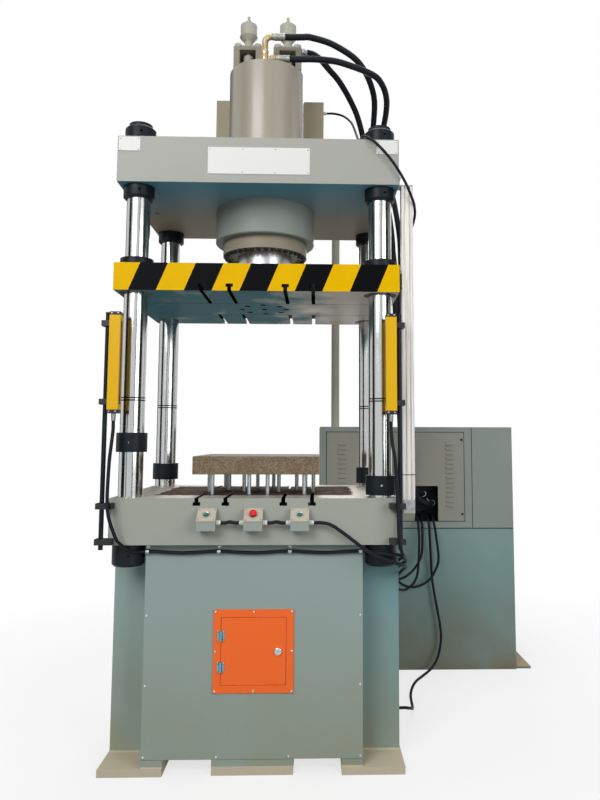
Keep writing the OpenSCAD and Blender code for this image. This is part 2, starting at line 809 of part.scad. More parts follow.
// Half of a hinge: a plate to side s and its half of the knuckle
module hinge_half(s, z, h, bore) {
    plate_y = knuckle_r + free_gap - hinge_plate_t;
    near = knuckle_r + 2 * free_gap;
    difference() {
        union() {
            translate([s > 0 ? near : -hinge_plate_w, plate_y, -hinge_h / 2])
                cube([hinge_plate_w - near, hinge_plate_t, hinge_h]);
            translate([s > 0 ? 0 : -near, plate_y, z])
                cube([near, hinge_plate_t, h]);
            translate([0, 0, z])
                cylinder(r = knuckle_r, h = h);
        }
        if (bore > 0)
            translate([0, 0, z - cut])
                cylinder(r = bore, h = h + 2 * cut);
    }
}

// Border plate around the door, with the fixed hinge halves and their pins
module door_surround() {
    color(orange) {
        difference() {
            translate([0, -cover_y - surround_t / 2, door_z - surround_h / 2])
                block([surround_w, surround_t, surround_h]);
            translate([0, -cover_y - surround_t / 2, door_z - door_h / 2 - door_gap])
                block([door_w + 2 * door_gap, 3 * surround_t, door_h + 2 * door_gap]);
            for (q = surround_screws_xz)
                translate([q.x, -surround_y - cut, q.y])
                    rod_y(screw_r + seat, surround_t + 2 * cut);
        }
        at_hinges() {
            hinge_half(-1, -hinge_h / 2, hinge_h / 2 - free_gap, 0);
            translate([0, 0, -hinge_h / 2])
                cylinder(r = hinge_pin_r, h = hinge_h);
        }
    }
}

// Door leaf with the moving hinge halves and the lock's hole
module access_door() {
    color(orange) difference() {
        union() {
            translate([0, -surround_y + door_t / 2, door_z - door_h / 2])
                block([door_w, door_t, door_h]);
            at_hinges()
                hinge_half(1, free_gap, hinge_h / 2 - free_gap, hinge_pin_r + running_gap);
        }
        translate([lock_x, -surround_y - cut, door_z])
            rod_y(lock_barrel_r + running_gap, door_t + 2 * cut);
    }
}

// Door lock: head, barrel and a cam that hangs down when open
module door_lock() {
    head_y = -surround_y - free_gap;
    cam_y = -cover_y + cover_t + 2 * free_gap;
    color(chrome) translate([lock_x, 0, door_z]) {
        translate([0, head_y - lock_head_h, 0])
            rod_y(lock_d / 2, lock_head_h);
        translate([0, head_y, 0])
            rod_y(lock_barrel_r, cam_y + cam_t - head_y);
        translate([-cam_w / 2, cam_y, -cam_l])
            cube([cam_w, cam_t, cam_l]);
    }
}

// T-slots open at both edges of a plate of depth d, cut up from z = 0
module t_slots(d) {
    for (i = [-2, -1, 1, 2], s = [-1, 1])
        translate([i * slot_pitch, s * (d / 2 - slot_l / 2 + cut / 2), 0]) {
            translate([0, 0, -cut])
                block([slot_neck, slot_l + cut, slot_neck_h + cut + slot_head_h / 2]);
            translate([0, 0, slot_neck_h])
                block([slot_head, slot_l + cut, slot_head_h]);
        }
}

// Bolster plate with column bores, T-slots and the cushion pins' holes
module bolster() {
    color(paint) difference() {
        translate([0, 0, base_h])
            block([bolster_w, bolster_d, bolster_t]);
        column_bores(column_r + seat, base_h, bolster_t);
        translate([0, 0, bolster_top])
            mirror([0, 0, 1])
                t_slots(bolster_d);
        for (q = pins_xy)
            translate([q.x, q.y, base_h - cut])
                cylinder(r = pin_r + pin_gap, h = bolster_t + 2 * cut, $fn = 32);
    }
}

// Chromed columns with a pair of reference grooves
module columns() {
    low = base_h - lower_nut_h;
    color(chrome) at_columns()
        difference() {
            translate([0, 0, low])
                cylinder(r = column_r, h = head_top + top_nut_h + column_end - low);
            for (k = [0, 1])
                translate([0, 0, bolster_top + groove_z + 3 * k * groove_w])
                    ring(column_r + cut, column_r - groove_depth, groove_w);
        }
}

// Round nut with a chamfer at its top and radial spanner holes
module round_nut(h) {
    r = nut_d / 2;
    difference() {
        union() {
            cylinder(r = r, h = h - nut_chamfer);
            translate([0, 0, h - nut_chamfer])
                cylinder(r1 = r, r2 = r - nut_chamfer, h = nut_chamfer);
        }
        translate([0, 0, -cut])
            cylinder(r = column_r + seat, h = h + 2 * cut);
        for (a = [15 : 90 : 285])
            rotate([0, 0, a])
                translate([r - 8, 0, h / 2])
                    rod_x(spanner_hole_d / 2, 8 + cut);
    }
}

// Nuts under the bolster, under the crosshead and on the crosshead
module column_nuts() {
    color(black) at_columns() {
        translate([0, 0, base_h])
            mirror([0, 0, 1])
                round_nut(lower_nut_h);
        translate([0, 0, head_z])
            mirror([0, 0, 1])
                round_nut(support_nut_h);
        translate([0, 0, head_top])
            round_nut(top_nut_h);
    }
}

// Clamped stop collars, each at its own height, with a set screw's hole
module stop_collars() {
    color(black) for (i = [0, 1], k = [0, 1])
        translate([(2 * i - 1) * column_x, (2 * k - 1) * column_y, bolster_top + collar_rise[i][k]])
            difference() {
                ring(collar_d / 2, column_r + seat, collar_h);
                rotate([0, 0, 180 * k])
                    translate([0, -collar_d / 2 - cut, collar_h / 2])
                        rod_y(spanner_hole_d / 2, collar_d / 2);
            }
}

// Crosshead plate with column bores, the barrel's bore and lifting holes
module crosshead() {
    lift_r = 10;
    lift_l = 40;
    color(paint) difference() {
        translate([0, 0, head_z])
            block([head_w, crosshead_d, crosshead_t]);
        column_bores(column_r + seat, head_z, crosshead_t);
        translate([0, 0, head_z - cut])
            cylinder(r = barrel_r + seat, h = crosshead_t + 2 * cut, $fn = 96);
        for (s = [-1, 1])
            translate([s * column_x, 0, head_z - cut])
                cylinder(r = lift_r, h = lift_l);
    }
}

// Barrel with a closed end, ports and screw holes
module cylinder_barrel() {
    port_r = spindle_r + 3;
    color(pale_paint) difference() {
        translate([0, 0, gland_top])
            cylinder(r = barrel_r, h = barrel_top - gland_top, $fn = 96);
        translate([0, 0, gland_top - cut])
            cylinder(r = bore_r, h = bore_top - gland_top + cut, $fn = 96);
        for (s = [-1, 1])
            translate([s * valve_x, valve_y, bore_top - cut])
                cylinder(r = port_r, h = barrel_end_t + 2 * cut);
        translate([fitting_x, fitting_y, bore_top - cut])
            cylinder(r = fitting_d / 4, h = barrel_end_t + 2 * cut);
        at_gland_screws()
            translate([0, 0, gland_top - cut])
                cylinder(r = gland_screw_d / 2 + seat, h = gland_screw_l);
    }
}

// Children at the gland's screw axes
module at_gland_screws() {
    for (k = [0 : gland_screws_n - 1])
        rotate([0, 0, (k + 0.5) * 360 / gland_screws_n])
            translate([gland_screw_r, 0, 0])
                children();
}

// Ring that locks the barrel under the crosshead
module lock_ring() {
    chamfer = 4;
    r = lock_ring_d / 2;
    color(paint) difference() {
        translate([0, 0, gland_top]) {
            cylinder(r1 = r - chamfer, r2 = r, h = chamfer, $fn = 96);
            translate([0, 0, chamfer])
                cylinder(r = r, h = lock_ring_h - chamfer, $fn = 96);
        }
        translate([0, 0, gland_top - cut])
            cylinder(r = barrel_r + seat, h = lock_ring_h + 2 * cut, $fn = 96);
    }
}

// Gland ring that closes the barrel and guides the ram
module gland_ring() {
    color(paint) difference() {
        translate([0, 0, gland_z])
            ring(gland_d / 2, ram_r + running_gap, gland_h, $fn = 96);
        at_gland_screws() {
            translate([0, 0, gland_z - cut])
                cylinder(r = gland_screw_d / 2 + seat, h = gland_h + 2 * cut);
            translate([0, 0, gland_z - cut])
                cylinder(r = gland_screw_head_d / 2 + seat, h = gland_screw_head_h + cut);
        }
    }
}

// Socket screws that hold the gland ring
module gland_screws() {
    color(black) at_gland_screws() {
        translate([0, 0, gland_z])
            difference() {
                cylinder(r = gland_screw_head_d / 2, h = gland_screw_head_h);
                translate([0, 0, -cut])
                    cylinder(r = gland_screw_d / 2, h = gland_screw_head_h / 2 + cut, $fn = 6);
            }
        translate([0, 0, gland_z + gland_screw_head_h])
            cylinder(r = gland_screw_d / 2, h = gland_screw_l);
    }
}

// Welded prefill tank behind the barrel
module fill_tank() {
    color(pale_paint) difference() {
        translate([0, prefill_y, head_top])
            block([fill_w, fill_d, fill_h]);
        translate([0, prefill_y, head_top + fill_wall])
            block([fill_w - 2 * fill_wall, fill_d - 2 * fill_wall, fill_h - 2 * fill_wall]);
        for (s = [-1, 1])
            translate([s * valve_x, prefill_y, fill_top - fill_wall - cut])
                cylinder(r = prefill_pipe_d / 2 - pipe_wall, h = fill_wall + 2 * cut);
        translate([fill_w / 2 - fill_wall - cut, prefill_y, return_z])
            rod_x(return_pipe_d / 2 - pipe_wall, fill_wall + 2 * cut);
    }
}

// Valve yokes: a foot, posts, a back and a head around each spindle
module prefill_yokes() {
    port_depth = 20;
    color(pale_paint) for (s = [-1, 1])
        difference() {
            translate([s * valve_x, yoke_y + yoke_d / 2, yoke_z])
                block([yoke_w, yoke_d, yoke_h]);
            translate([s * valve_x, yoke_y + yoke_window_d / 2 - cut, yoke_z + yoke_plate])
                block([yoke_w - 2 * yoke_post, yoke_window_d + 2 * cut, yoke_h - 2 * yoke_plate]);
            translate([s * valve_x, valve_y, yoke_z - cut])
                cylinder(r = spindle_r + running_gap, h = yoke_plate + 2 * cut);
            translate([s * valve_x, valve_y, yoke_z])
                cylinder(r = stem_r + running_gap, h = yoke_h + cut);
            translate([s * valve_x, yoke_back - port_depth, prefill_z])
                rod_y(prefill_pipe_d / 2 - pipe_wall, port_depth + cut);
        }
}

// Valve actuators: a neck, a cone, a body and a tip each
module prefill_actuators() {
    neck_h = 38;
    cone_h = 24;
    tip_h = 41;
    tip_r = 6;
    color(pale_paint) for (s = [-1, 1])
        translate([s * valve_x, valve_y, yoke_top])
            difference() {
                union() {
                    cylinder(r = 2 * stem_r, h = neck_h);
                    translate([0, 0, neck_h])
                        cylinder(r1 = 2 * stem_r, r2 = actuator_d / 2 + 3, h = cone_h);
                    translate([0, 0, neck_h + cone_h])
                        cylinder(r = actuator_d / 2, h = actuator_h - neck_h - cone_h);
                    translate([0, 0, actuator_h]) {
                        cylinder(r = tip_r, h = tip_h);
                        cylinder(r = 2 * tip_r, h = tip_h / 2);
                    }
                }
                translate([0, 0, -cut])
                    cylinder(r = stem_r + running_gap, h = actuator_bore_h + cut);
            }
}

// Valve spindle on side s, with a stem into its actuator
module spindle(s) {
    low = yoke_z - spindle_low;
    color(steel) translate([s * valve_x, valve_y, low]) {
        cylinder(r = spindle_r, h = yoke_top - yoke_plate - 13 - low);
        cylinder(r = stem_r, h = yoke_top + actuator_bore_h - 5 - low);
    }
}

module spindle_left() {
    spindle(-1);
}

module spindle_right() {
    spindle(1);
}

// Solid quarter bend from the +X side to the +Y side
module bend_rod(bend, r) {
    rotate_extrude(angle = 90)
        translate([bend, 0])
            circle(r = r);
}

// Solid run of a prefill pipe from its valve to the tank
module prefill_run(r, past) {
    run_y = prefill_y - prefill_bend;
    translate([0, yoke_back - past, prefill_z])
        rod_y(r, run_y - yoke_back + past);
    translate([0, run_y, prefill_z - prefill_bend])
        rotate([90, 0, 90])
            bend_rod(prefill_bend, r);
    translate([0, prefill_y, fill_top - past])
        cylinder(r = r, h = prefill_z - prefill_bend - fill_top + past);
}

// Solid run of the return pipe from the power unit to the prefill tank
module return_run(r, past) {
    translate([return_x, return_y, tank_dip - past])
        cylinder(r = r, h = return_z - return_bend - tank_dip + past);
    translate([return_x, return_y - return_bend, return_z - return_bend])
        rotate([90, 0, 90])
            bend_rod(return_bend, r);
    translate([return_x, prefill_y + return_bend, return_z])
        rod_y(r, return_y - prefill_y - 2 * return_bend);
    translate([return_x - return_bend, prefill_y + return_bend, return_z])
        rotate([0, 0, -90])
            bend_rod(return_bend, r);
    translate([fill_w / 2 - past, prefill_y, return_z])
        rod_x(r, return_x - return_bend - fill_w / 2 + past);
}

// Prefill pipes from the tank to the valves, and the return pipe
module oil_pipes() {
    color(pale_paint) {
        for (s = [-1, 1])
            translate([s * valve_x, 0, 0])
                difference() {
                    prefill_run(prefill_pipe_d / 2, 0);
                    prefill_run(prefill_pipe_d / 2 - pipe_wall, cut);
                }
        difference() {
            union() {
                return_run(return_pipe_d / 2, 0);
                translate([fill_w / 2, prefill_y, return_z])
                    rod_x(pipe_flange_d / 2, flange_t);
            }
            return_run(return_pipe_d / 2 - pipe_wall, cut);
        }
    }
}

// Brass tee and elbow on the barrel, and the crimped ends of the hoses
module hose_fittings() {
    r = fitting_d / 2;
    foot_h = 22;
    color("#c9a468") translate([fitting_x, fitting_y, 0]) {
        translate([0, 0, barrel_top])
            cylinder(r = fitting_nut_d / 2, h = foot_h, $fn = 6);
        translate([0, 0, barrel_top])
            cylinder(r = r, h = fitting_high_z - fitting_bend - barrel_top);
        translate([0, 0, fitting_low_z])
            rod_x(r - 2, fitting_low_x - fitting_x);
        translate([fitting_low_x - fitting_x - 18, 0, fitting_low_z])
            rotate([0, 90, 0])
                cylinder(r = fitting_nut_d / 2 - 2, h = 18, $fn = 6);
        translate([fitting_bend, 0, fitting_high_z - fitting_bend])
            rotate([90, 0, 0])
                rotate([0, 0, 90])
                    rotate_extrude(angle = 90)
                        translate([fitting_bend, 0])
                            circle(r = r);
        translate([fitting_bend, 0, fitting_high_z])
            rod_x(r, fitting_high_x - fitting_x - fitting_bend);
    }
    color(steel) {
        translate([fitting_high_x, fitting_y, fitting_high_z])
            rod_x(ferrule_d / 2, ferrule_l);
        translate([fitting_low_x, fitting_y, fitting_low_z])
            rod_x(ferrule_d / 2, ferrule_l);
    }
}

module hose_upper() {
    color(rubber) cord(fitted(hose_upper_route, hose_ends[0], on_manifold(hose_upper_route)), hose_d, 2);
}

module hose_lower() {
    color(rubber) cord(fitted(hose_lower_route, hose_ends[1], on_manifold(hose_lower_route)), hose_d, 2);
}

module hose_rear() {
    color(rubber) cord(fitted(hose_rear_route, hose_ends[2], on_manifold(hose_rear_route)), hose_d, 2);
}

// Bare name plate and the two bare corner plates on the crosshead
module blank_plates() {
    plate_t = 2;
    name_w = 370;
    name_h = 100;
    corner_w = 78;
    corner_h = 52;
    edge = 4;
    color("#e9e9e4") translate([0, -crosshead_d / 2 - plate_t / 2, 0]) {
        translate([0, 0, head_z + 32])
            block([name_w, plate_t, name_h]);
        for (s = [-1, 1])
            translate([s * (head_w / 2 - corner_w / 2 - edge), 0, head_top - corner_h - edge])
                block([corner_w, plate_t, corner_h]);
    }
}

// Poles that carry the light curtains
module curtain_poles() {
    color(black) for (x = pole_x)
        translate([x, pole_y, bolster_top - pole_down])
            cylinder(r = pole_d / 2, h = pole_down + curtain_up + curtain_l);
}

// Clamps between the poles, the bolster's front and the curtains
module pole_clamps() {
    reach = 38;
    grip = 18;
    rear = front_y - pole_y;
    color(black) for (i = [0, 1]) {
        s = 1 - 2 * i;
        for (z = [bolster_top - 25, bolster_top - bolster_t + 15])
            difference() {
                translate([pole_x[i] + s * (reach - grip) / 2, pole_y + (rear - clamp_front) / 2,
                    z - clamp_h / 2])
                    block([reach + grip, rear + clamp_front, clamp_h]);
                translate([pole_x[i], pole_y, z - clamp_h])
                    cylinder(r = pole_d / 2 + seat, h = 2 * clamp_h);
            }
        for (z = [curtain_z + 40, curtain_z + curtain_l - 40])
            difference() {
                translate([(pole_x[i] - s * grip + curtain_x[i] - s * curtain_w / 2) / 2, pole_y,
                    z - clamp_h / 2])
                    block([abs(curtain_x[i] - pole_x[i]) + grip - curtain_w / 2, 2 * clamp_front, clamp_h]);
                translate([pole_x[i], pole_y, z - clamp_h])
                    cylinder(r = pole_d / 2 + seat, h = 2 * clamp_h);
            }
    }
}

// Curtain housings, each with a recess for its window on the inner face
module curtain_housings() {
    window_w = 20;
    window_t = 2;
    color(yellow) for (i = [0, 1])
        translate([curtain_x[i], curtain_y, curtain_z + curtain_cap_h])
            difference() {
                block([curtain_w, curtain_depth, curtain_l - 2 * curtain_cap_h]);
                translate([(1 - 2 * i) * curtain_w / 2, 0, window_w])
                    block([2 * window_t, window_w, curtain_l - 2 * curtain_cap_h - 2 * window_w]);
            }
}

// End caps of the curtains and the connectors below them
module curtain_caps() {
    color(black) for (x = curtain_x)
        translate([x, curtain_y, curtain_z]) {
            block([curtain_w, curtain_depth, curtain_cap_h]);
            translate([0, 0, -connector_l])
                cylinder(r = connector_d / 2, h = connector_l);
            translate([0, 0, curtain_l - curtain_cap_h])
                block([curtain_w, curtain_depth, curtain_cap_h]);
        }
}

// Extruded rail of the position sensor, grooved on its front
module sensor_rail() {
    groove = 5;
    color("#d9dbdb") translate([rail_x, rail_mid_y, rail_z])
        linear_extrude(rail_top - rail_z)
            difference() {
                translate([0, -rail_d / 2])
                    square([rail_w, rail_d]);
                for (k = [0.3, 0.7])
                    translate([k * rail_w - groove / 2, -rail_d / 2 - cut])
                        square([groove, groove + cut]);
                translate([rail_w - groove, -groove / 2])
                    square([groove + cut, groove]);
            }
}

// Brackets at the rail's ends and its connector block
module rail_brackets() {
    plate_h = 60;
    head_side = head_w / 2;
    foot_h = 40;
    color(steel) {
        translate([head_side, rail_mid_y - rail_d / 2, rail_top])
            cube([bracket_t, rail_d, plate_h]);
        translate([head_side, rail_mid_y - rail_d / 2, rail_top])
            cube([rail_x + rail_w - head_side, rail_d, bracket_t]);
        translate([bolster_w / 2, rail_mid_y - rail_d / 4, rail_z + 5])
            cube([rail_x - bolster_w / 2, rail_d / 2, foot_h]);
        translate([rail_x + rail_w - connector_w, rail_mid_y + rail_d / 2, connector_z - foot_h])
            cube([connector_w, connector_w, foot_h]);
    }
}

// Reading head on the slide's side, just clear of the rail
module rail_carriage() {
    color(black) translate([slide_w / 2, rail_mid_y - rail_d / 2, slide_z + slide_t / 4])
        cube([rail_gap - free_gap, rail_d, slide_t / 2]);
}

// Side profile of a button box, depth along x and height along y
module box_profile() {
    polygon([[0, 0], [box_d, 0], [box_d, box_front_h], [box_top_d, box_h], [0, box_h]]);
}

// Inside of a button box, open under the lid
module box_hollow() {
    slope = (box_h - box_front_h) / (box_d - box_top_d);
    polygon([[box_wall, box_wall], [box_d - box_wall, box_wall],
        [box_d - box_wall, box_front_h + box_wall * slope + cut],
        [box_top_d + box_wall / slope + cut, box_h - box_wall], [box_wall, box_h - box_wall]]);
}

// Button boxes on the bolster's front
module button_boxes() {
    color("#a9b8b6") for (x = box_x)
        translate([x, front_y, box_z])
            rotate([90, 0, -90])
                difference() {
                    linear_extrude(box_w, center = true)
                        box_profile();
                    linear_extrude(box_w - 2 * box_wall, center = true)
                        box_hollow();
                }
}

// Children on a lid's middle, with +Z along its normal
module at_lid(x) {
    translate([x, lid_y, lid_z])
        rotate([lid_tilt, 0, 0])
            children();
}

// Slanted lids with a hole for each button
module button_lids() {
    color("#c4b49e") for (x = box_x)
        at_lid(x)
            difference() {
                block([box_w, lid_l, lid_t]);
                translate([0, 0, -cut])
                    cylinder(r = button_d / 2 + free_gap, h = lid_t + 2 * cut);
            }
}

// Start button on a lid
module start_button(x) {
    color("#2f7a4a") at_lid(x)
        translate([0, 0, -button_in])
            cylinder(r = button_d / 2, h = button_in + lid_t + button_out);
}

module start_button_left() {
    start_button(box_x[0]);
}

module start_button_right() {
    start_button(box_x[2]);
}

// Emergency stop with a mushroom head on the middle lid
module emergency_stop() {
    color("#c8202a") at_lid(box_x[1]) {
        translate([0, 0, -button_in])
            cylinder(r = button_d / 2, h = button_in + lid_t + stop_gap);
        translate([0, 0, lid_t + stop_gap])
            cylinder(r1 = stop_d / 2, r2 = stop_d / 2 - 3, h = stop_head_h);
    }
}

// Glands of the button boxes, of the base's leg and of the prefill tank
module cable_glands() {
    r = gland_fit_d / 2;
    color("#dcdcd6") {
        for (x = [box_x[0] + box_w / 2, box_x[1] + box_w / 2, box_x[2] + box_w / 2])
            translate([x, box_gland_y, box_gland_z])
                rod_x(r, gland_fit_l);
        for (x = [box_x[1] - box_w / 2, box_x[2] - box_w / 2])
            translate([x - gland_fit_l, box_gland_y, box_gland_z])
                rod_x(r, gland_fit_l);
        translate([leg_x, leg_gland_y, leg_gland_z])
            rod_x(r, gland_fit_l);
        translate([fill_w / 2, fill_gland_y, fill_gland_z])
            rod_x(r, gland_fit_l - 2);
    }
}

// Short leads between neighbouring button boxes
module box_leads() {
    color(rubber) for (x = [box_x[0], box_x[1]])
        translate([x + box_w / 2 + gland_fit_l, box_gland_y, box_gland_z])
            cord(link_route, lead_d, 2);
}

module button_lead() {
    color(rubber) cord(fitted(button_route, button_lead_end, on_manifold(button_route)), lead_d, 2);
}

module curtain_lead_left() {
    color(rubber) cord(concat(
        fitted(curtain_left_route, curtain_ends[0], [screw_x[0], lead_y, lead_z]),
        [for (i = [0 : 2], k = [0.08, 0.5, 0.92, 1]) if (i < 2 || k < 1)
            [screw_x[i] + k * (screw_x[1] - screw_x[0]), lead_y, lead_z - (k == 0.5 ? lead_sag : 0)]],
        fitted(leg_route, [screw_x[3], lead_y, lead_z], on_manifold(leg_route))), lead_d, 2);
}

module curtain_lead_right() {
    color(rubber) cord(fitted(curtain_right_route, curtain_ends[1], on_manifold(curtain_right_route)),
        lead_d, 2);
}

module sensor_lead() {
    color(rubber) cord(fitted(sensor_route, sensor_ends[0], sensor_ends[1]), sensor_lead_d, 2);
}

module supply_lead() {
    color(rubber) cord(fitted(supply_route, supply_ends[0], supply_ends[1]), lead_d, 2);
}

// Clips that hold the left curtain's lead under the cover's top screws
module cable_clips() {
    r = lead_d / 2 + 1.5;
    color(steel) for (x = screw_x)
        difference() {
            union() {
                translate([x, lead_y, lead_z])
                    rotate([0, 90, 0])
                        cylinder(r = r + clip_t / 2, h = clip_w, center = true);
                translate([x, -cover_y - clip_t / 2, lead_z + r])
                    block([clip_w, clip_t, clip_drop + clip_tab - r]);
                translate([x, (lead_y - cover_y) / 2, lead_z + r - clip_t / 2])
                    block([clip_w, lead_out, clip_t / 2]);
            }
            translate([x, lead_y, lead_z])
                rotate([0, 90, 0])
                    cylinder(r = r, h = clip_w + 2 * cut, center = true);
            translate([x, -cover_y - clip_t - cut, screw_z[3]])
                rod_y(screw_r + seat, clip_t + 2 * cut);
        }
}

// Oil tank with welded foot plates and openings at its top
module oil_tank() {
    color("#8b938a") difference() {
        union() {
            translate([unit_x, unit_y, 0])
                cube([unit_w, unit_d, tank_h]);
            translate([unit_x - tank_foot, unit_y + tank_foot_t, 0])
                cube([unit_w + 2 * tank_foot, unit_d - 2 * tank_foot_t, tank_foot_t]);
        }
        translate([unit_x + tank_wall, unit_y + tank_wall, tank_wall])
            cube([unit_w - 2 * tank_wall, unit_d - 2 * tank_wall, tank_h - 2 * tank_wall]);
        translate([return_x, return_y, tank_h - tank_wall - cut])
            cylinder(r = return_pipe_d / 2 + seat, h = tank_wall + 2 * cut);
        translate([pump_x + pump_l / 2, motor_y, tank_h - tank_wall - cut])
            cylinder(r = shaft_r, h = tank_wall + 2 * cut);
    }
}

// Sheet cabinet on the tank, open at the front behind the louvred panel
module pump_cabinet() {
    color("#8b938a") difference() {
        translate([unit_x, unit_y, tank_h])
            cube([unit_w, unit_d, cabinet_h]);
        translate([unit_x + cabinet_wall, unit_y + cabinet_wall, tank_h - cut])
            cube([unit_w - 2 * cabinet_wall, unit_d - 2 * cabinet_wall, cabinet_h - cabinet_wall + cut]);
        translate([panel_left + panel_lap, unit_y - cut, panel_z])
            cube([panel_w - 2 * panel_lap, cabinet_wall + 2 * cut, panel_h - panel_lap]);
        translate([return_x, return_y, unit_top - cabinet_wall - cut])
            cylinder(r = return_pipe_d / 2 + seat, h = cabinet_wall + 2 * cut);
        translate([unit_x + seam_x, unit_y - cut, tank_h - cut])
            cube([seam_w, cut + cabinet_wall / 2, cabinet_h + 2 * cut]);
    }
}

// Removable louvred panel with the notch for the hoses
module louvre_panel() {
    hood = 6;
    slit = 3;
    color("#8b938a") translate([panel_left, unit_y - cabinet_wall, panel_z])
        difference() {
            union() {
                cube([panel_w, cabinet_wall, panel_h]);
                for (x = louvre_x, k = [0 : louvres_n - 1])
                    translate([x - louvre_w / 2, -hood, louvre_up + k * louvre_pitch])
                        cube([louvre_w, hood + cabinet_wall, louvre_h]);
            }
            for (x = louvre_x, k = [0 : louvres_n - 1])
                translate([x - louvre_w / 2 + slit, -hood + slit / 2, louvre_up + k * louvre_pitch - cut])
                    cube([louvre_w - 2 * slit, hood + cabinet_wall + cut, louvre_h - slit + cut]);
            translate([outlet_x, -cut, -cut])
                cube([outlet_w, cabinet_wall + 2 * cut, outlet_h + cut]);
        }
}

// Finned motor lying on its feet on the tank
module motor_body() {
    r = motor_d / 2;
    foot_w = 60;
    color("#4d5a62") difference() {
        union() {
            translate([motor_x, motor_y, motor_z]) {
                rod_x(r - fin_h, motor_l);
                for (k = [0 : fin_n - 1])
                    rotate([k * 360 / fin_n, 0, 0])
                        translate([fin_t, -fin_t / 2, r - 2 * fin_h])
                            cube([motor_l - 2 * fin_t, fin_t, 2 * fin_h]);
            }
            for (k = [0.2, 0.8])
                translate([motor_x + k * motor_l, motor_y, tank_h])
                    block([foot_w, motor_d * 0.8, motor_z - tank_h - r / 2]);
        }
        translate([motor_x + motor_l / 4, motor_y, motor_z])
            rod_x(shaft_r + running_gap, motor_l);
    }
}

// Motor shaft with its coupling, running from the motor into the pump
module motor_shaft() {
    color(steel) translate([motor_x + motor_l / 4 + free_gap, motor_y, motor_z]) {
        rod_x(shaft_r, pump_x - motor_x - motor_l / 4 + 20);
        translate([motor_l * 3 / 4 + 8, 0, 0])
            rod_x(coupling_d / 2, coupling_l);
    }
}

// Pump beside the motor, on a bracket with its suction pipe
module pump_body() {
    color("#4d5a62") difference() {
        union() {
            translate([pump_x, motor_y, motor_z])
                rod_x(pump_d / 2, pump_l);
            translate([pump_x + pump_l / 2, motor_y, tank_h])
                block([pump_l / 2, pump_d, motor_z - tank_h]);
        }
        translate([pump_x - cut, motor_y, motor_z])
            rod_x(shaft_r + running_gap, 40);
    }
}

// Valve manifold behind the hose opening
module valve_manifold() {
    color("#3d4246") translate([manifold_x, manifold_y, tank_h])
        cube([manifold_w, manifold_d, manifold_h]);
}

// Cylinder of the die cushion on the base's floor
module cushion_cylinder() {
    color("#4d5a62") difference() {
        translate([0, 0, floor_z])
            cylinder(r = cushion_d / 2, h = cushion_top - floor_z);
        translate([0, 0, floor_z + base_wall])
            cylinder(r = rod_r + running_gap, h = cushion_top - floor_z);
    }
}

// Rod and platen of the die cushion
module cushion_platen() {
    color(steel) {
        translate([0, 0, rod_low])
            cylinder(r = rod_r, h = platen_top - platen_t - rod_low);
        translate([0, 0, platen_top - platen_t])
            block([platen_w, platen_d, platen_t]);
    }
}

// Pins from the platen through the bolster to the blank holder
module cushion_pins() {
    color(steel) for (q = pins_xy)
        translate([q.x, q.y, platen_top])
            cylinder(r = pin_r, h = holder_z - platen_top, $fn = 32);
}

// Blank holder plate on the cushion pins
module blank_holder() {
    color("#6e5f4b") translate([holder_shift, 0, holder_z])
        block([holder_w, holder_d, holder_t]);
}

// Slide plate with bush bores, T-slots below and the ram's screw holes
module slide_plate() {
    color(paint) difference() {
        translate([0, 0, slide_z])
            block([slide_w, slide_d, slide_t]);
        column_bores(bush_r + seat, slide_z, slide_t);
        at_columns()
            translate([0, 0, slide_z - cut])
                cylinder(r = flange_d / 2 + seat, h = bush_ring_t + cut);
        translate([0, 0, slide_z])
            t_slots(slide_d);
        for (q = concat([[0, 0]], [for (a = [0 : 45 : 315]) ram_screw_circle * [cos(a), sin(a)]]))
            translate([q.x, q.y, slide_z - cut])
                cylinder(r = ram_screw_d / 2, h = slide_t + 2 * cut, $fn = 32);
    }
}

// Flanged guide bushes, each with a flush ring under the slide
module guide_bushes() {
    in_r = column_r + running_gap;
    color(black) at_columns() {
        translate([0, 0, slide_z + bush_ring_t])
            ring(bush_r, in_r, slide_t - bush_ring_t);
        translate([0, 0, slide_top])
            ring(flange_d / 2, in_r, flange_h);
        translate([0, 0, slide_z])
            ring(flange_d / 2, in_r, bush_ring_t);
    }
}

// Chromed ram with its piston
module ram() {
    color(chrome) {
        translate([0, 0, slide_top])
            cylinder(r = ram_r, h = piston_top - slide_top, $fn = 96);
        translate([0, 0, piston_top - piston_h])
            cylinder(r = bore_r - running_gap, h = piston_h, $fn = 96);
    }
}

base_frame();
base_covers();
cover_screws();
door_surround();
access_door();
door_lock();
bolster();
columns();
column_nuts();
stop_collars();
crosshead();
cylinder_barrel();
lock_ring();
gland_ring();
gland_screws();
fill_tank();
prefill_yokes();
prefill_actuators();
spindle_left();
spindle_right();
oil_pipes();
hose_fittings();
hose_upper();
hose_lower();
hose_rear();
blank_plates();
curtain_poles();
pole_clamps();
curtain_housings();
curtain_caps();
sensor_rail();
rail_brackets();
rail_carriage();
button_boxes();
button_lids();
cable_glands();
start_button_left();
start_button_right();
emergency_stop();
box_leads();
button_lead();
curtain_lead_left();
curtain_lead_right();
sensor_lead();
supply_lead();
cable_clips();
oil_tank();
pump_cabinet();
louvre_panel();
motor_body();
motor_shaft();
pump_body();
valve_manifold();
cushion_cylinder();
cushion_platen();
cushion_pins();
blank_holder();
slide_plate();
guide_bushes();
ram();
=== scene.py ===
"""Looks of a four-column hydraulic press with its power unit, in metres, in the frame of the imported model."""
import math

import bpy
from mathutils import Matrix, Vector


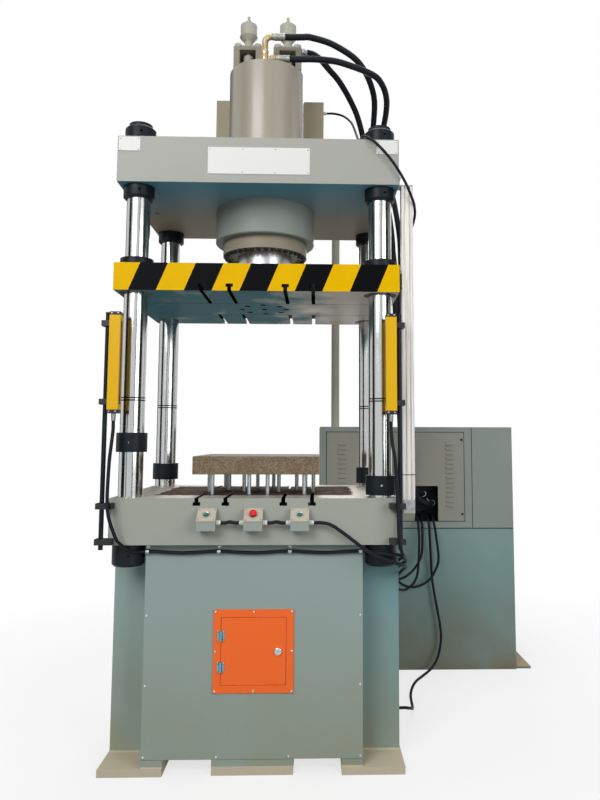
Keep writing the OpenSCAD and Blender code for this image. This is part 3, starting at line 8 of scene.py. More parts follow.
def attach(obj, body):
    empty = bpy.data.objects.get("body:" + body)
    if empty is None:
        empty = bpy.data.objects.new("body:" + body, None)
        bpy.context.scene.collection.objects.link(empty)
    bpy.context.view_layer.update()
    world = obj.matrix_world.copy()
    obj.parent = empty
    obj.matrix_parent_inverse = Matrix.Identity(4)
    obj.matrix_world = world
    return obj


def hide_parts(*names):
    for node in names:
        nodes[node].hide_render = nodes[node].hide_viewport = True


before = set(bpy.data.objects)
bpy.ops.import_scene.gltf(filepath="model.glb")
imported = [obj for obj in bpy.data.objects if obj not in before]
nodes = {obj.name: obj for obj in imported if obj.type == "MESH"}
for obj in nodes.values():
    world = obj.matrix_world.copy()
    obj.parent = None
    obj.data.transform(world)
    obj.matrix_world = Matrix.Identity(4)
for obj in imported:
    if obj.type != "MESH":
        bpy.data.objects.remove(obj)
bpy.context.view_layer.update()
scene = bpy.context.scene
scene.view_settings.view_transform = "Standard"
MM = 0.001
UP = (0, 0, 1)
DOWN = (0, 0, -1)
FORWARD = (0, -1, 0)
BACKWARD = (0, 1, 0)
LEFTWARD = (-1, 0, 0)
RIGHTWARD = (1, 0, 0)


# Small tools

def linear(hex_colour):
    """Linear RGBA of an sRGB hex colour."""
    parts = [int(hex_colour[i:i + 2], 16) / 255 for i in (0, 2, 4)]
    return [c / 12.92 if c <= 0.04045 else ((c + 0.055) / 1.055) ** 2.4 for c in parts] + [1.0]


def per_mm(size):
    """Texture scale, in metres, at which one feature is about size millimetres wide."""
    return 1 / (size * MM)


def add(tree, kind, links=None, **settings):
    """Adds a node with its settings; links gives each input a value or another node's output."""
    made = tree.nodes.new(kind)
    for name, value in settings.items():
        setattr(made, name, value)
    for key, value in (links or {}).items():
        if isinstance(value, bpy.types.NodeSocket):
            tree.links.new(value, made.inputs[key])
        else:
            made.inputs[key].default_value = value
    return made


def new_material(name):
    """An empty node material: its tree, its shader and the object coordinates."""
    material = bpy.data.materials.new(name)
    material.use_nodes = True
    tree = material.node_tree
    tree.nodes.clear()
    shader = add(tree, "ShaderNodeBsdfPrincipled")
    add(tree, "ShaderNodeOutputMaterial", {"Surface": shader.outputs[0]})
    place = add(tree, "ShaderNodeTexCoord").outputs["Object"]
    return material, tree, shader, place


# Camera at the photograph's viewing angle

IMAGE_HEIGHT = 800
FOCAL_PIXELS = 679.4
CENTRE_OFFSET = (35.4, -23.0)
CAMERA_PLACE = (0.211, -2.746, 1.142)
CAMERA_TURN = (-1.66, 95.30, 0.15)

camera_data = bpy.data.cameras.new("camera")
camera_data.sensor_width = 36
camera_data.lens = FOCAL_PIXELS * camera_data.sensor_width / IMAGE_HEIGHT
camera_data.shift_x = -CENTRE_OFFSET[0] / IMAGE_HEIGHT
camera_data.shift_y = CENTRE_OFFSET[1] / IMAGE_HEIGHT
camera = bpy.data.objects.new("camera", camera_data)
scene.collection.objects.link(camera)
yaw, pitch, roll = [math.radians(a) for a in CAMERA_TURN]
camera.matrix_world = (Matrix.Translation(CAMERA_PLACE) @ Matrix.Rotation(yaw, 4, "Z")
                       @ Matrix.Rotation(pitch, 4, "X") @ Matrix.Rotation(roll, 4, "Z"))
scene.camera = camera


# Floor, world, lamps and reflection cards

def sight_rays(tree):
    """Socket that is 1 for the rays of the camera, of mirrors and of glass."""
    path = add(tree, "ShaderNodeLightPath")
    seen = add(tree, "ShaderNodeMath", {0: path.outputs["Is Camera Ray"], 1: path.outputs["Is Glossy Ray"]},
               operation="MAXIMUM")
    return add(tree, "ShaderNodeMath", {0: seen.outputs[0], 1: path.outputs["Is Transmission Ray"]},
               operation="MAXIMUM").outputs[0]


FLOOR_SIZE = 30
FLOOR_MIDDLE = (0.3, 0.4, 0)
SHADOW_REACH = (1.2, 2.9)
WHITE_NEAR = 0.72


def floor_material():
    """Matt pale floor: it keeps the shadow near the object, and is plain white to the eye farther out."""
    material, tree, shader, place = new_material("pale_floor")
    seen = sight_rays(tree)
    tint = add(tree, "ShaderNodeMix", {0: seen, 6: linear("6e7070"), 7: linear("f2f2f0")}, data_type="RGBA")
    tree.links.new(tint.outputs[2], shader.inputs["Base Color"])
    shader.inputs["Roughness"].default_value = 0.9
    shader.inputs["Specular IOR Level"].default_value = 0.1
    away = add(tree, "ShaderNodeVectorMath", {0: place, 1: FLOOR_MIDDLE}, operation="DISTANCE")
    fade = add(tree, "ShaderNodeMapRange", {0: away.outputs["Value"], 1: SHADOW_REACH[0], 2: SHADOW_REACH[1],
                                            3: WHITE_NEAR, 4: 1.0}, interpolation_type="SMOOTHSTEP")
    share = add(tree, "ShaderNodeMath", {0: seen, 1: fade.outputs[0]}, operation="MULTIPLY")
    plain = add(tree, "ShaderNodeEmission", {"Color": linear("ffffff"), "Strength": 1.0})
    surface = add(tree, "ShaderNodeMixShader", {0: share.outputs[0], 1: shader.outputs[0],
                                                2: plain.outputs[0]})
    tree.links.new(surface.outputs[0], tree.nodes["Material Output"].inputs["Surface"])
    return material


def stage_sheet(name, corners, material):
    """Flat sheet of the studio through four corners, not part of the object."""
    mesh = bpy.data.meshes.new(name)
    mesh.from_pydata(corners, [], [(0, 1, 2, 3)])
    mesh.materials.append(material)
    sheet = bpy.data.objects.new(name, mesh)
    scene.collection.objects.link(sheet)
    return sheet


half_floor = FLOOR_SIZE / 2
stage_sheet("floor", [(-half_floor, -half_floor, 0), (half_floor, -half_floor, 0),
                      (half_floor, half_floor, 0), (-half_floor, half_floor, 0)], floor_material())

# Dark cards that only reflections show: they draw the grey streaks down polished bars
card_material = new_material("dark_card")[0]
card_shader = card_material.node_tree.nodes["Principled BSDF"]
card_shader.inputs["Base Color"].default_value = linear("22262a")
card_shader.inputs["Roughness"].default_value = 1.0
card_shader.inputs["Specular IOR Level"].default_value = 0.0
CARD_HEIGHT = 5
CARDS = {"left_card": ((-3.2, -2.3), (-3.2, -0.6)), "right_card": ((3.6, -2.4), (3.6, -0.2)),
         "rear_card": ((-3.4, 2.2), (-1.2, 3.4)), "front_card": ((1.5, -4.6), (2.1, -4.4))}
for name, (near, far) in CARDS.items():
    card = stage_sheet(name, [(*near, 0), (*far, 0), (*far, CARD_HEIGHT), (*near, CARD_HEIGHT)],
                       card_material)
    card.visible_camera = False
    card.visible_diffuse = False
    card.visible_shadow = False

ROOM_LIGHT = 0.34
world = bpy.data.worlds.new("studio")
scene.world = world
world.use_nodes = True
sky = world.node_tree
sky.nodes.clear()
room = add(sky, "ShaderNodeBackground", {"Color": linear("f1f4f7"), "Strength": ROOM_LIGHT})
white = add(sky, "ShaderNodeBackground", {"Color": linear("ffffff"), "Strength": 1.0})
both = add(sky, "ShaderNodeMixShader", {0: sight_rays(sky), 1: room.outputs[0], 2: white.outputs[0]})
add(sky, "ShaderNodeOutputWorld", {"Surface": both.outputs[0]})


def soft_lamp(name, place, target, size, watts):
    """Square area lamp at place, turned to target."""
    data = bpy.data.lights.new(name, "AREA")
    data.shape = "SQUARE"
    data.size = size
    data.energy = watts
    lamp = bpy.data.objects.new(name, data)
    lamp.location = place
    lamp.rotation_euler = (Vector(target) - Vector(place)).to_track_quat("-Z", "Y").to_euler()
    scene.collection.objects.link(lamp)


soft_lamp("key_lamp", (-2.0, -4.6, 3.8), (0.1, 0, 1.2), size=2.6, watts=158)
soft_lamp("fill_lamp", (3.4, -4.0, 2.2), (0.3, 0, 1.0), size=2.6, watts=88)
soft_lamp("top_lamp", (0.4, 0.4, 5.6), (0.3, 0.3, 0), size=3.0, watts=80)
soft_lamp("back_lamp", (0.5, 5.0, 4.0), (0.3, 0.5, 1.2), size=3.0, watts=110)


# Finishes

def rounded_normal(tree, radius_mm, height, strength, depth_mm):
    """Edges rounded to radius_mm with a fine relief of depth_mm on top; gives the normal's socket."""
    edge = add(tree, "ShaderNodeBevel", {"Radius": radius_mm * MM}, samples=4)
    relief = add(tree, "ShaderNodeBump", {"Height": height, "Strength": strength, "Distance": depth_mm * MM,
                                          "Normal": edge.outputs[0]})
    return relief.outputs[0]


def sprayed_enamel(name, colour, worn_colour, roughness=0.38, wear=0.35, specular=0.25):
    """Two-pack enamel sprayed over filler: a slight orange peel, broad cloudy patches and dulled grime."""
    material, tree, shader, place = new_material(name)
    peel = add(tree, "ShaderNodeTexNoise", {"Vector": place, "Scale": per_mm(4), "Detail": 2.0})
    cloud = add(tree, "ShaderNodeTexNoise", {"Vector": place, "Scale": per_mm(380), "Detail": 5.0})
    patch = add(tree, "ShaderNodeMapRange", {0: cloud.outputs[0], 1: 0.35, 2: 0.72, 4: wear})
    tint = add(tree, "ShaderNodeMix", {0: patch.outputs[0], 6: linear(colour), 7: linear(worn_colour)},
               data_type="RGBA")
    gloss = add(tree, "ShaderNodeMapRange", {0: cloud.outputs[0], 1: 0.3, 2: 0.7, 3: roughness,
                                             4: roughness + 0.14})
    tree.links.new(tint.outputs[2], shader.inputs["Base Color"])
    tree.links.new(gloss.outputs[0], shader.inputs["Roughness"])
    normal = rounded_normal(tree, radius_mm=1.5, height=peel.outputs[0], strength=0.12, depth_mm=0.3)
    tree.links.new(normal, shader.inputs["Normal"])
    shader.inputs["Specular IOR Level"].default_value = specular
    return material


def hard_chrome(name, roughness=0.1):
    """Ground and polished hard chrome: mirror-bright, with a film of oil and fine rings round the bar, which
    are drawn coarse enough to show."""
    material, tree, shader, place = new_material(name)
    squeeze = add(tree, "ShaderNodeMapping", {"Vector": place, "Scale": (1, 1, 40)})
    rings = add(tree, "ShaderNodeTexNoise", {"Vector": squeeze.outputs[0], "Scale": per_mm(60),
                                             "Detail": 4.0})
    film = add(tree, "ShaderNodeTexNoise", {"Vector": place, "Scale": per_mm(90), "Detail": 3.0})
    both_marks = add(tree, "ShaderNodeMath", {0: rings.outputs[0], 1: film.outputs[0]}, operation="MULTIPLY")
    gloss = add(tree, "ShaderNodeMapRange", {0: both_marks.outputs[0], 1: 0.15, 2: 0.4, 3: roughness,
                                             4: roughness + 0.12})
    tree.links.new(gloss.outputs[0], shader.inputs["Roughness"])
    shader.inputs["Base Color"].default_value = linear("bcbebd")
    shader.inputs["Metallic"].default_value = 1.0
    return material


def black_oxide(name):
    """Turned steel, hot-blacked and oiled: nearly black, with a blue cast and faint turning lines, which
    are drawn coarse enough to show."""
    material, tree, shader, place = new_material(name)
    squeeze = add(tree, "ShaderNodeMapping", {"Vector": place, "Scale": (1, 1, 30)})
    lines = add(tree, "ShaderNodeTexNoise", {"Vector": squeeze.outputs[0], "Scale": per_mm(30),
                                             "Detail": 3.0})
    oil = add(tree, "ShaderNodeTexNoise", {"Vector": place, "Scale": per_mm(35), "Detail": 4.0})
    tint = add(tree, "ShaderNodeMix", {0: oil.outputs[0], 6: linear("0b1116"), 7: linear("1c242a")},
               data_type="RGBA")
    gloss = add(tree, "ShaderNodeMapRange", {0: oil.outputs[0], 1: 0.3, 2: 0.7, 3: 0.34, 4: 0.5})
    tree.links.new(tint.outputs[2], shader.inputs["Base Color"])
    tree.links.new(gloss.outputs[0], shader.inputs["Roughness"])
    normal = rounded_normal(tree, radius_mm=1.2, height=lines.outputs[0], strength=0.15, depth_mm=0.2)
    tree.links.new(normal, shader.inputs["Normal"])
    shader.inputs["Specular IOR Level"].default_value = 0.16
    return material


def zinc_plate(name, colour="b9bcbe", roughness=0.34):
    """Bright zinc over turned steel: pale, a little cloudy, soft reflections."""
    material, tree, shader, place = new_material(name)
    spangle = add(tree, "ShaderNodeTexNoise", {"Vector": place, "Scale": per_mm(6), "Detail": 3.0})
    tint = add(tree, "ShaderNodeMix", {0: spangle.outputs[0], 6: linear(colour), 7: linear("7f8588")},
               data_type="RGBA")
    gloss = add(tree, "ShaderNodeMapRange", {0: spangle.outputs[0], 1: 0.3, 2: 0.7, 3: roughness - 0.06,
                                             4: roughness + 0.1})
    tree.links.new(tint.outputs[2], shader.inputs["Base Color"])
    tree.links.new(gloss.outputs[0], shader.inputs["Roughness"])
    shader.inputs["Metallic"].default_value = 1.0
    return material


def turned_brass(name):
    """Turned brass fittings: pale warm metal, dulled to brown in patches."""
    material, tree, shader, place = new_material(name)
    stain = add(tree, "ShaderNodeTexNoise", {"Vector": place, "Scale": per_mm(18), "Detail": 4.0})
    tint = add(tree, "ShaderNodeMix", {0: stain.outputs[0], 6: linear("cfbf9c"), 7: linear("94805a")},
               data_type="RGBA")
    tree.links.new(tint.outputs[2], shader.inputs["Base Color"])
    shader.inputs["Metallic"].default_value = 0.85
    shader.inputs["Roughness"].default_value = 0.36
    return material


def hose_cover(name):
    """Extruded synthetic rubber: black with a dull sheen and the faint wrap of its curing tape."""
    material, tree, shader, place = new_material(name)
    wrap = add(tree, "ShaderNodeTexNoise", {"Vector": place, "Scale": per_mm(5), "Detail": 2.0})
    dust = add(tree, "ShaderNodeTexNoise", {"Vector": place, "Scale": per_mm(120), "Detail": 4.0})
    tint = add(tree, "ShaderNodeMix", {0: dust.outputs[0], 6: linear("0e1116"), 7: linear("1d2127")},
               data_type="RGBA")
    relief = add(tree, "ShaderNodeBump", {"Height": wrap.outputs[0], "Strength": 0.2, "Distance": 0.4 * MM})
    tree.links.new(tint.outputs[2], shader.inputs["Base Color"])
    tree.links.new(relief.outputs[0], shader.inputs["Normal"])
    shader.inputs["Roughness"].default_value = 0.5
    shader.inputs["Specular IOR Level"].default_value = 0.14
    return material


def moulded_plastic(name, colour, roughness=0.42, grain_mm=1.2):
    """Injection-moulded plastic: even colour, softly rounded edges, and a spark-eroded grain that is drawn
    coarse enough to show."""
    material, tree, shader, place = new_material(name)
    grain = add(tree, "ShaderNodeTexNoise", {"Vector": place, "Scale": per_mm(grain_mm), "Detail": 2.0})
    dust = add(tree, "ShaderNodeTexNoise", {"Vector": place, "Scale": per_mm(40), "Detail": 4.0})
    rubbed = add(tree, "ShaderNodeMapRange", {0: dust.outputs[0], 1: 0.3, 2: 0.7, 3: roughness - 0.05,
                                              4: roughness + 0.08})
    tree.links.new(rubbed.outputs[0], shader.inputs["Roughness"])
    normal = rounded_normal(tree, radius_mm=0.8, height=grain.outputs[0], strength=0.12, depth_mm=0.15)
    tree.links.new(normal, shader.inputs["Normal"])
    shader.inputs["Base Color"].default_value = linear(colour)
    shader.inputs["Specular IOR Level"].default_value = 0.4
    return material


def anodised_extrusion(name):
    """Clear-anodised aluminium extrusion: pale satin metal with long drawing lines, coarse enough to show."""
    material, tree, shader, place = new_material(name)
    stretch = add(tree, "ShaderNodeMapping", {"Vector": place, "Scale": (1, 1, 0.02)})
    lines = add(tree, "ShaderNodeTexNoise", {"Vector": stretch.outputs[0], "Scale": per_mm(6), "Detail": 4.0})
    streak = add(tree, "ShaderNodeMapRange", {0: lines.outputs[0], 1: 0.35, 2: 0.65})
    tint = add(tree, "ShaderNodeMix", {0: streak.outputs[0], 6: linear("eae8e3"), 7: linear("c4c2bd")},
               data_type="RGBA")
    tree.links.new(tint.outputs[2], shader.inputs["Base Color"])
    normal = rounded_normal(tree, radius_mm=0.8, height=lines.outputs[0], strength=0.1, depth_mm=0.1)
    tree.links.new(normal, shader.inputs["Normal"])
    shader.inputs["Metallic"].default_value = 0.5
    shader.inputs["Roughness"].default_value = 0.4
    return material


def rusted_plate(name):
    """Flame-cut plate left bare: dull steel, freckled with brown rust and pale scale."""
    material, tree, shader, place = new_material(name)
    freckle = add(tree, "ShaderNodeTexNoise", {"Vector": place, "Scale": per_mm(6), "Detail": 6.0})
    bloom = add(tree, "ShaderNodeTexNoise", {"Vector": place, "Scale": per_mm(70), "Detail": 5.0})
    spots = add(tree, "ShaderNodeMapRange", {0: freckle.outputs[0], 1: 0.4, 2: 0.62})
    rust = add(tree, "ShaderNodeMix", {0: spots.outputs[0], 6: linear("62543f"), 7: linear("998c78")},
               data_type="RGBA")
    tint = add(tree, "ShaderNodeMix", {0: bloom.outputs[0], 6: rust.outputs[2], 7: linear("6f5c46")},
               data_type="RGBA")
    tree.links.new(tint.outputs[2], shader.inputs["Base Color"])
    normal = rounded_normal(tree, radius_mm=1.5, height=freckle.outputs[0], strength=0.5, depth_mm=0.6)
    tree.links.new(normal, shader.inputs["Normal"])
    shader.inputs["Metallic"].default_value = 0.15
    shader.inputs["Roughness"].default_value = 0.65
    shader.inputs["Specular IOR Level"].default_value = 0.3
    return material


def parts_of(material):
    """The tree of a finish and its object coordinates."""
    tree = material.node_tree
    return tree, tree.nodes["Texture Coordinate"].outputs["Object"]


def inside_box(tree, place, low, high):
    """Mask that is 1 inside a box of the object's frame, in metres, and 0 outside it."""
    middle = [(a + b) / 2 for a, b in zip(low, high)]
    half = [(b - a) / 2 for a, b in zip(low, high)]
    off = add(tree, "ShaderNodeVectorMath", {0: place, 1: middle}, operation="SUBTRACT")
    away = add(tree, "ShaderNodeVectorMath", {0: off.outputs[0]}, operation="ABSOLUTE")
    past = add(tree, "ShaderNodeVectorMath", {0: away.outputs[0], 1: half}, operation="SUBTRACT")
    axes = add(tree, "ShaderNodeSeparateXYZ", {0: past.outputs[0]}).outputs
    wider = add(tree, "ShaderNodeMath", {0: axes[0], 1: axes[1]}, operation="MAXIMUM").outputs[0]
    widest = add(tree, "ShaderNodeMath", {0: wider, 1: axes[2]}, operation="MAXIMUM").outputs[0]
    return add(tree, "ShaderNodeMath", {0: widest, 1: 0.0}, operation="LESS_THAN").outputs[0]


# Farther out than the object on every side, in metres
WIDE = 2


def layer(tree, place, low, high):
    """Mask that is 1 between two heights of the object's frame, in metres."""
    return inside_box(tree, place, (-WIDE, -WIDE, low), (WIDE, WIDE, high))


# Cosine of about 45 degrees
SAME_WAY = 0.7


def facing(tree, direction):
    """Mask that is 1 on the faces turned to within about 45 degrees of a direction of the object's frame."""
    normal = tree.nodes["Texture Coordinate"].outputs["Normal"]
    turn = add(tree, "ShaderNodeVectorMath", {0: normal, 1: direction}, operation="DOT_PRODUCT")
    return add(tree, "ShaderNodeMath", {0: turn.outputs["Value"], 1: SAME_WAY},
               operation="GREATER_THAN").outputs[0]


def along(tree, place, axis, start, end):
    """Mask that rises from 0 at start to 1 at end along an axis of the object's frame, in metres."""
    axes = add(tree, "ShaderNodeSeparateXYZ", {0: place}).outputs
    return add(tree, "ShaderNodeMapRange", {0: axes[axis], 1: start, 2: end}).outputs[0]


def lay_over(material, masks, colour, roughness, metallic=0.0, specular=0.35):
    """Lays a second finish over the first where every mask is 1."""
    tree = material.node_tree
    shader = tree.nodes["Principled BSDF"]
    mask = masks[0]
    for other in masks[1:]:
        mask = add(tree, "ShaderNodeMath", {0: mask, 1: other}, operation="MULTIPLY").outputs[0]
    tint_under = shader.inputs["Base Color"]
    under = tint_under.links[0].from_socket if tint_under.is_linked else tint_under.default_value
    tint = add(tree, "ShaderNodeMix", {0: mask, 6: under, 7: colour}, data_type="RGBA")
    tree.links.new(tint.outputs[2], tint_under)
    for name, value in (("Roughness", roughness), ("Metallic", metallic), ("Specular IOR Level", specular)):
        socket = shader.inputs[name]
        under = socket.links[0].from_socket if socket.is_linked else socket.default_value
        level = add(tree, "ShaderNodeMix", {0: mask, 2: under, 3: value})
        tree.links.new(level.outputs[0], socket)


# Roughness, metallic share and specular level of dry dust, of old oil in joints, and of old oil with painted
# shade in slots
DUST = (0.6, 0.0, 0.15)
GRIME_AND_SHADE = (0.6, 0.0, 0.1)


def dust_over(material, height, colour):
    """Workshop dust in clouds below a height, thicker towards the floor."""
    tree, place = parts_of(material)
    cloud = add(tree, "ShaderNodeTexNoise", {"Vector": place, "Scale": per_mm(260), "Detail": 6.0})
    thick = add(tree, "ShaderNodeMapRange", {0: cloud.outputs[0], 1: 0.25, 2: 0.65, 3: 0.25, 4: 0.8})
    low = along(tree, place, "Z", height, 0.0)
    lay_over(material, [low, thick.outputs[0]], linear(colour), *DUST)
    return material


def ground_lines(tree, place, light, dark):
    """Surface-ground steel: fine lines along y between two colours, drawn coarse enough to show."""
    stretch = add(tree, "ShaderNodeMapping", {"Vector": place, "Scale": (1, 0.03, 1)})
    lines = add(tree, "ShaderNodeTexNoise", {"Vector": stretch.outputs[0], "Scale": per_mm(3), "Detail": 4.0})
    return add(tree, "ShaderNodeMix", {0: lines.outputs[0], 6: linear(light), 7: linear(dark)},
               data_type="RGBA").outputs[2]


# Half the thickness of a mask on a face, then the bolster's faces, slots and oily patch, in metres
SKIN = 0.0005
PLATE_HALF_DEPTH = 0.35
SLOT_REACH = 0.24
HOLES_FROM = 0.79
BOLSTER_TOP = 0.94
OILY_LOW = (-0.345, -0.195, 0.9)
OILY_HIGH = (0.385, 0.285, 1)
RAGGED_EDGE = (0.06, 0.06, 0)


def bolster_finish():
    """Enamelled sides; top ground bright, brown with old oil where the dies stand; slots and holes black with
    old oil and painted shade.
    """
    material = sprayed_enamel("bolster_enamel", "a5a99f", "9ea298")
    tree, place = parts_of(material)
    top = [facing(tree, UP), layer(tree, place, BOLSTER_TOP - SKIN, BOLSTER_TOP + SKIN)]
    lay_over(material, top, ground_lines(tree, place, "d6d0c2", "a59d8e"), roughness=0.4, metallic=0.5)
    blot = add(tree, "ShaderNodeTexNoise", {"Vector": place, "Scale": per_mm(45), "Detail": 6.0})
    ragged = add(tree, "ShaderNodeVectorMath", {0: blot.outputs["Color"], 1: RAGGED_EDGE, 2: place},
                 operation="MULTIPLY_ADD")
    oily = inside_box(tree, ragged.outputs[0], OILY_LOW, OILY_HIGH)
    grain = add(tree, "ShaderNodeMapRange", {0: blot.outputs[0], 1: 0.36, 2: 0.64})
    oil = add(tree, "ShaderNodeMix", {0: grain.outputs[0], 6: linear("2e2119"), 7: linear("6e5848")},
              data_type="RGBA")
    lay_over(material, top + [oily], oil.outputs[2], roughness=0.7, metallic=0.0, specular=0.03)
    # Painted shade with old oil: slots and pin holes near black
    slots = inside_box(tree, place, (-SLOT_REACH, SKIN - PLATE_HALF_DEPTH, HOLES_FROM),
                       (SLOT_REACH, PLATE_HALF_DEPTH - SKIN, BOLSTER_TOP - SKIN))
    lay_over(material, [slots], linear("14120f"), *GRIME_AND_SHADE)
    return material


# The slide's stripes, faces and joints, and where its painted reflection turns bright, in metres; the slant is
# the shift in x for each metre of height
STRIPE_WIDTH = 0.0987
STRIPE_START = 0.438
STRIPE_SLANT = 0.41
SLIDE_FOOT = 1.672
SLIDE_TOP = 1.772
SLIDE_JOINTS = (-0.116, 0.116)
JOINT_HALF = 0.002
REFLECTION_X = (0.0, 0.6)


def slide_finish():
    """Grey enamel, slanted yellow and black stripes front and rear; below, ground steel with a painted
    reflection, blue-teal on the left and bright on the right."""
    material = sprayed_enamel("slide_enamel", "8e948d", "848b85")
    tree, place = parts_of(material)
    below = [facing(tree, DOWN), layer(tree, place, SLIDE_FOOT - SKIN, SLIDE_FOOT + SKIN)]
    # Painted reflection below: blue-teal on the left, bright warm grey on the right, in blotchy clouds
    film = add(tree, "ShaderNodeTexNoise", {"Vector": place, "Scale": per_mm(130), "Detail": 5.0})
    edge = add(tree, "ShaderNodeMath", {0: film.outputs[0], 1: 0.9, 2: along(tree, place, "X", *REFLECTION_X)},
               operation="MULTIPLY_ADD")
    bright_reflection = add(tree, "ShaderNodeMapRange", {0: edge.outputs[0], 1: 0.52, 2: 1.0})
    steel = add(tree, "ShaderNodeMix", {0: bright_reflection.outputs[0], 6: ground_lines(tree, place, "639fae", "518b98"),
                                        7: ground_lines(tree, place, "ccc2b5", "aaa195")}, data_type="RGBA")
    lay_over(material, below, steel.outputs[2], roughness=0.5, metallic=0.0, specular=0.02)
    # Painted reflection: a brighter, partly metallic layer where it is bright
    lay_over(material, below + [bright_reflection.outputs[0]], linear("d4cabd"),
             roughness=0.4, metallic=0.3, specular=0.3)
    for y in SLIDE_JOINTS:
        joint = inside_box(tree, place, (-WIDE, y - JOINT_HALF, 0), (WIDE, y + JOINT_HALF, SLIDE_FOOT + SKIN))
        lay_over(material, [joint], linear("16191a"), *GRIME_AND_SHADE)
    axes = add(tree, "ShaderNodeSeparateXYZ", {0: place}).outputs
    above = add(tree, "ShaderNodeMath", {0: axes["Z"], 1: (SLIDE_FOOT + SLIDE_TOP) / 2},
                operation="SUBTRACT")
    slant = add(tree, "ShaderNodeMath", {0: above.outputs[0], 1: -STRIPE_SLANT, 2: axes["X"]},
                operation="MULTIPLY_ADD")
    start = add(tree, "ShaderNodeMath", {0: slant.outputs[0], 1: STRIPE_START}, operation="ADD")
    count = add(tree, "ShaderNodeMath", {0: start.outputs[0], 1: 2 * STRIPE_WIDTH}, operation="DIVIDE")
    step = add(tree, "ShaderNodeMath", {0: count.outputs[0]}, operation="FRACT")
    black = add(tree, "ShaderNodeMath", {0: step.outputs[0], 1: 0.5}, operation="LESS_THAN")
    scuff = add(tree, "ShaderNodeTexNoise", {"Vector": place, "Scale": per_mm(45), "Detail": 6.0})
    yellow = add(tree, "ShaderNodeMix", {0: scuff.outputs[0], 6: linear("f2c000"), 7: linear("e6b200")},
                 data_type="RGBA")
    stripe = add(tree, "ShaderNodeMix", {0: black.outputs[0], 6: yellow.outputs[2], 7: linear("07080a")},
                 data_type="RGBA")
    for side, y in ((FORWARD, -PLATE_HALF_DEPTH), (BACKWARD, PLATE_HALF_DEPTH)):
        face = inside_box(tree, place, (-WIDE, y - SKIN, 0), (WIDE, y + SKIN, WIDE))
        lay_over(material, [facing(tree, side), face], stripe.outputs[2],
                 roughness=0.45, metallic=0.0, specular=0.04)
    # Painted shade with old oil: slots near black
    slots = inside_box(tree, place, (-SLOT_REACH, SKIN - PLATE_HALF_DEPTH, SLIDE_FOOT + SKIN),
                       (SLOT_REACH, PLATE_HALF_DEPTH - SKIN, SLIDE_TOP - SKIN))
    lay_over(material, [slots], linear("111110"), *GRIME_AND_SHADE)
    return material


# Where the painted reflection under the crosshead turns from blue-grey to warm grey, from front to rear
WARM_REFLECTION_Y = (-0.3, 0.1)


def head_finish():
    """Pale grey enamel; below, a painted reflection, blue-grey at the front and warm grey towards the rear."""
    material = sprayed_enamel("crosshead_enamel", "abaca4", "a0a49c")
    tree, place = parts_of(material)
    # Painted reflection on the underside: blue-grey in front, warm grey behind
    painted_reflection = add(tree, "ShaderNodeMix", {0: along(tree, place, "Y", *WARM_REFLECTION_Y), 6: linear("70b0c8"),
                                            7: linear("b3a48e")}, data_type="RGBA")
    lay_over(material, [facing(tree, DOWN)], painted_reflection.outputs[2], roughness=0.5, metallic=0.0, specular=0.15)
    return material


# Heights below which the foot plates lie, heights that dust reaches, and where the painted shade of the right
# leg fades in
LEG_FOOT = 0.03
TANK_FOOT = 0.012
BASE_DUST = 0.6
TANK_DUST = 0.45
RIGHT_SHADE_X = (0.0, 0.9)


def leg_finish():
    """Grey-green enamel, with painted shade making the right leg darker and bluer; dust dries beige on the foot
    plates.
    """
    material = sprayed_enamel("leg_enamel", "9db2ae", "94a8a1")
    tree, place = parts_of(material)
    # Painted shade: the right leg darker and bluer
    lay_over(material, [along(tree, place, "X", *RIGHT_SHADE_X)], linear("528d96"),
             roughness=0.42, metallic=0.0, specular=0.25)
    dust_over(material, BASE_DUST, "96957b")
    lay_over(material, [layer(tree, place, -SKIN, LEG_FOOT)], linear("cabfa6"), *DUST)
    return material


def tank_finish():
    """Blue-green enamel; brown dust towards the floor, and dry beige on the foot plates."""
    enamel = sprayed_enamel("tank_enamel", "88a6a3", "7f9a96", roughness=0.42, wear=0.7)
    material = dust_over(enamel, TANK_DUST, "866b42")
    tree, place = parts_of(material)
    lay_over(material, [layer(tree, place, -SKIN, TANK_FOOT), facing(tree, UP)], linear("b3a283"), *DUST)
    return material


# Heights of the grooves and threads on the columns
GROOVES = ((1.279, 1.2835), (1.288, 1.2925))
THREADS = (2.2945, 2.4)


def column_finish():
    """Hard chrome bars with two oil-filled grooves low down and blacked threads above the top nuts."""
    material = hard_chrome("hard_chrome_bar")
    tree, place = parts_of(material)
    for low, high in (*GROOVES, THREADS):
        lay_over(material, [layer(tree, place, low, high)], linear("1b1f22"),
                 roughness=0.5, metallic=0.1, specular=0.2)
    return material


# Plane between the door and its hinges
HINGE_SEAT = -0.3081


def door_finish():
    """Gloss orange enamel; the hinges in front of it are zinc, passivated blue."""
    material = sprayed_enamel("orange_enamel", "ff7230", "fa6827", roughness=0.34)
    tree, place = parts_of(material)
    hinges = inside_box(tree, place, (-WIDE, -WIDE, 0), (WIDE, HINGE_SEAT, WIDE))
    lay_over(material, [hinges], linear("76a0ac"), roughness=0.3, metallic=1.0)
    return material


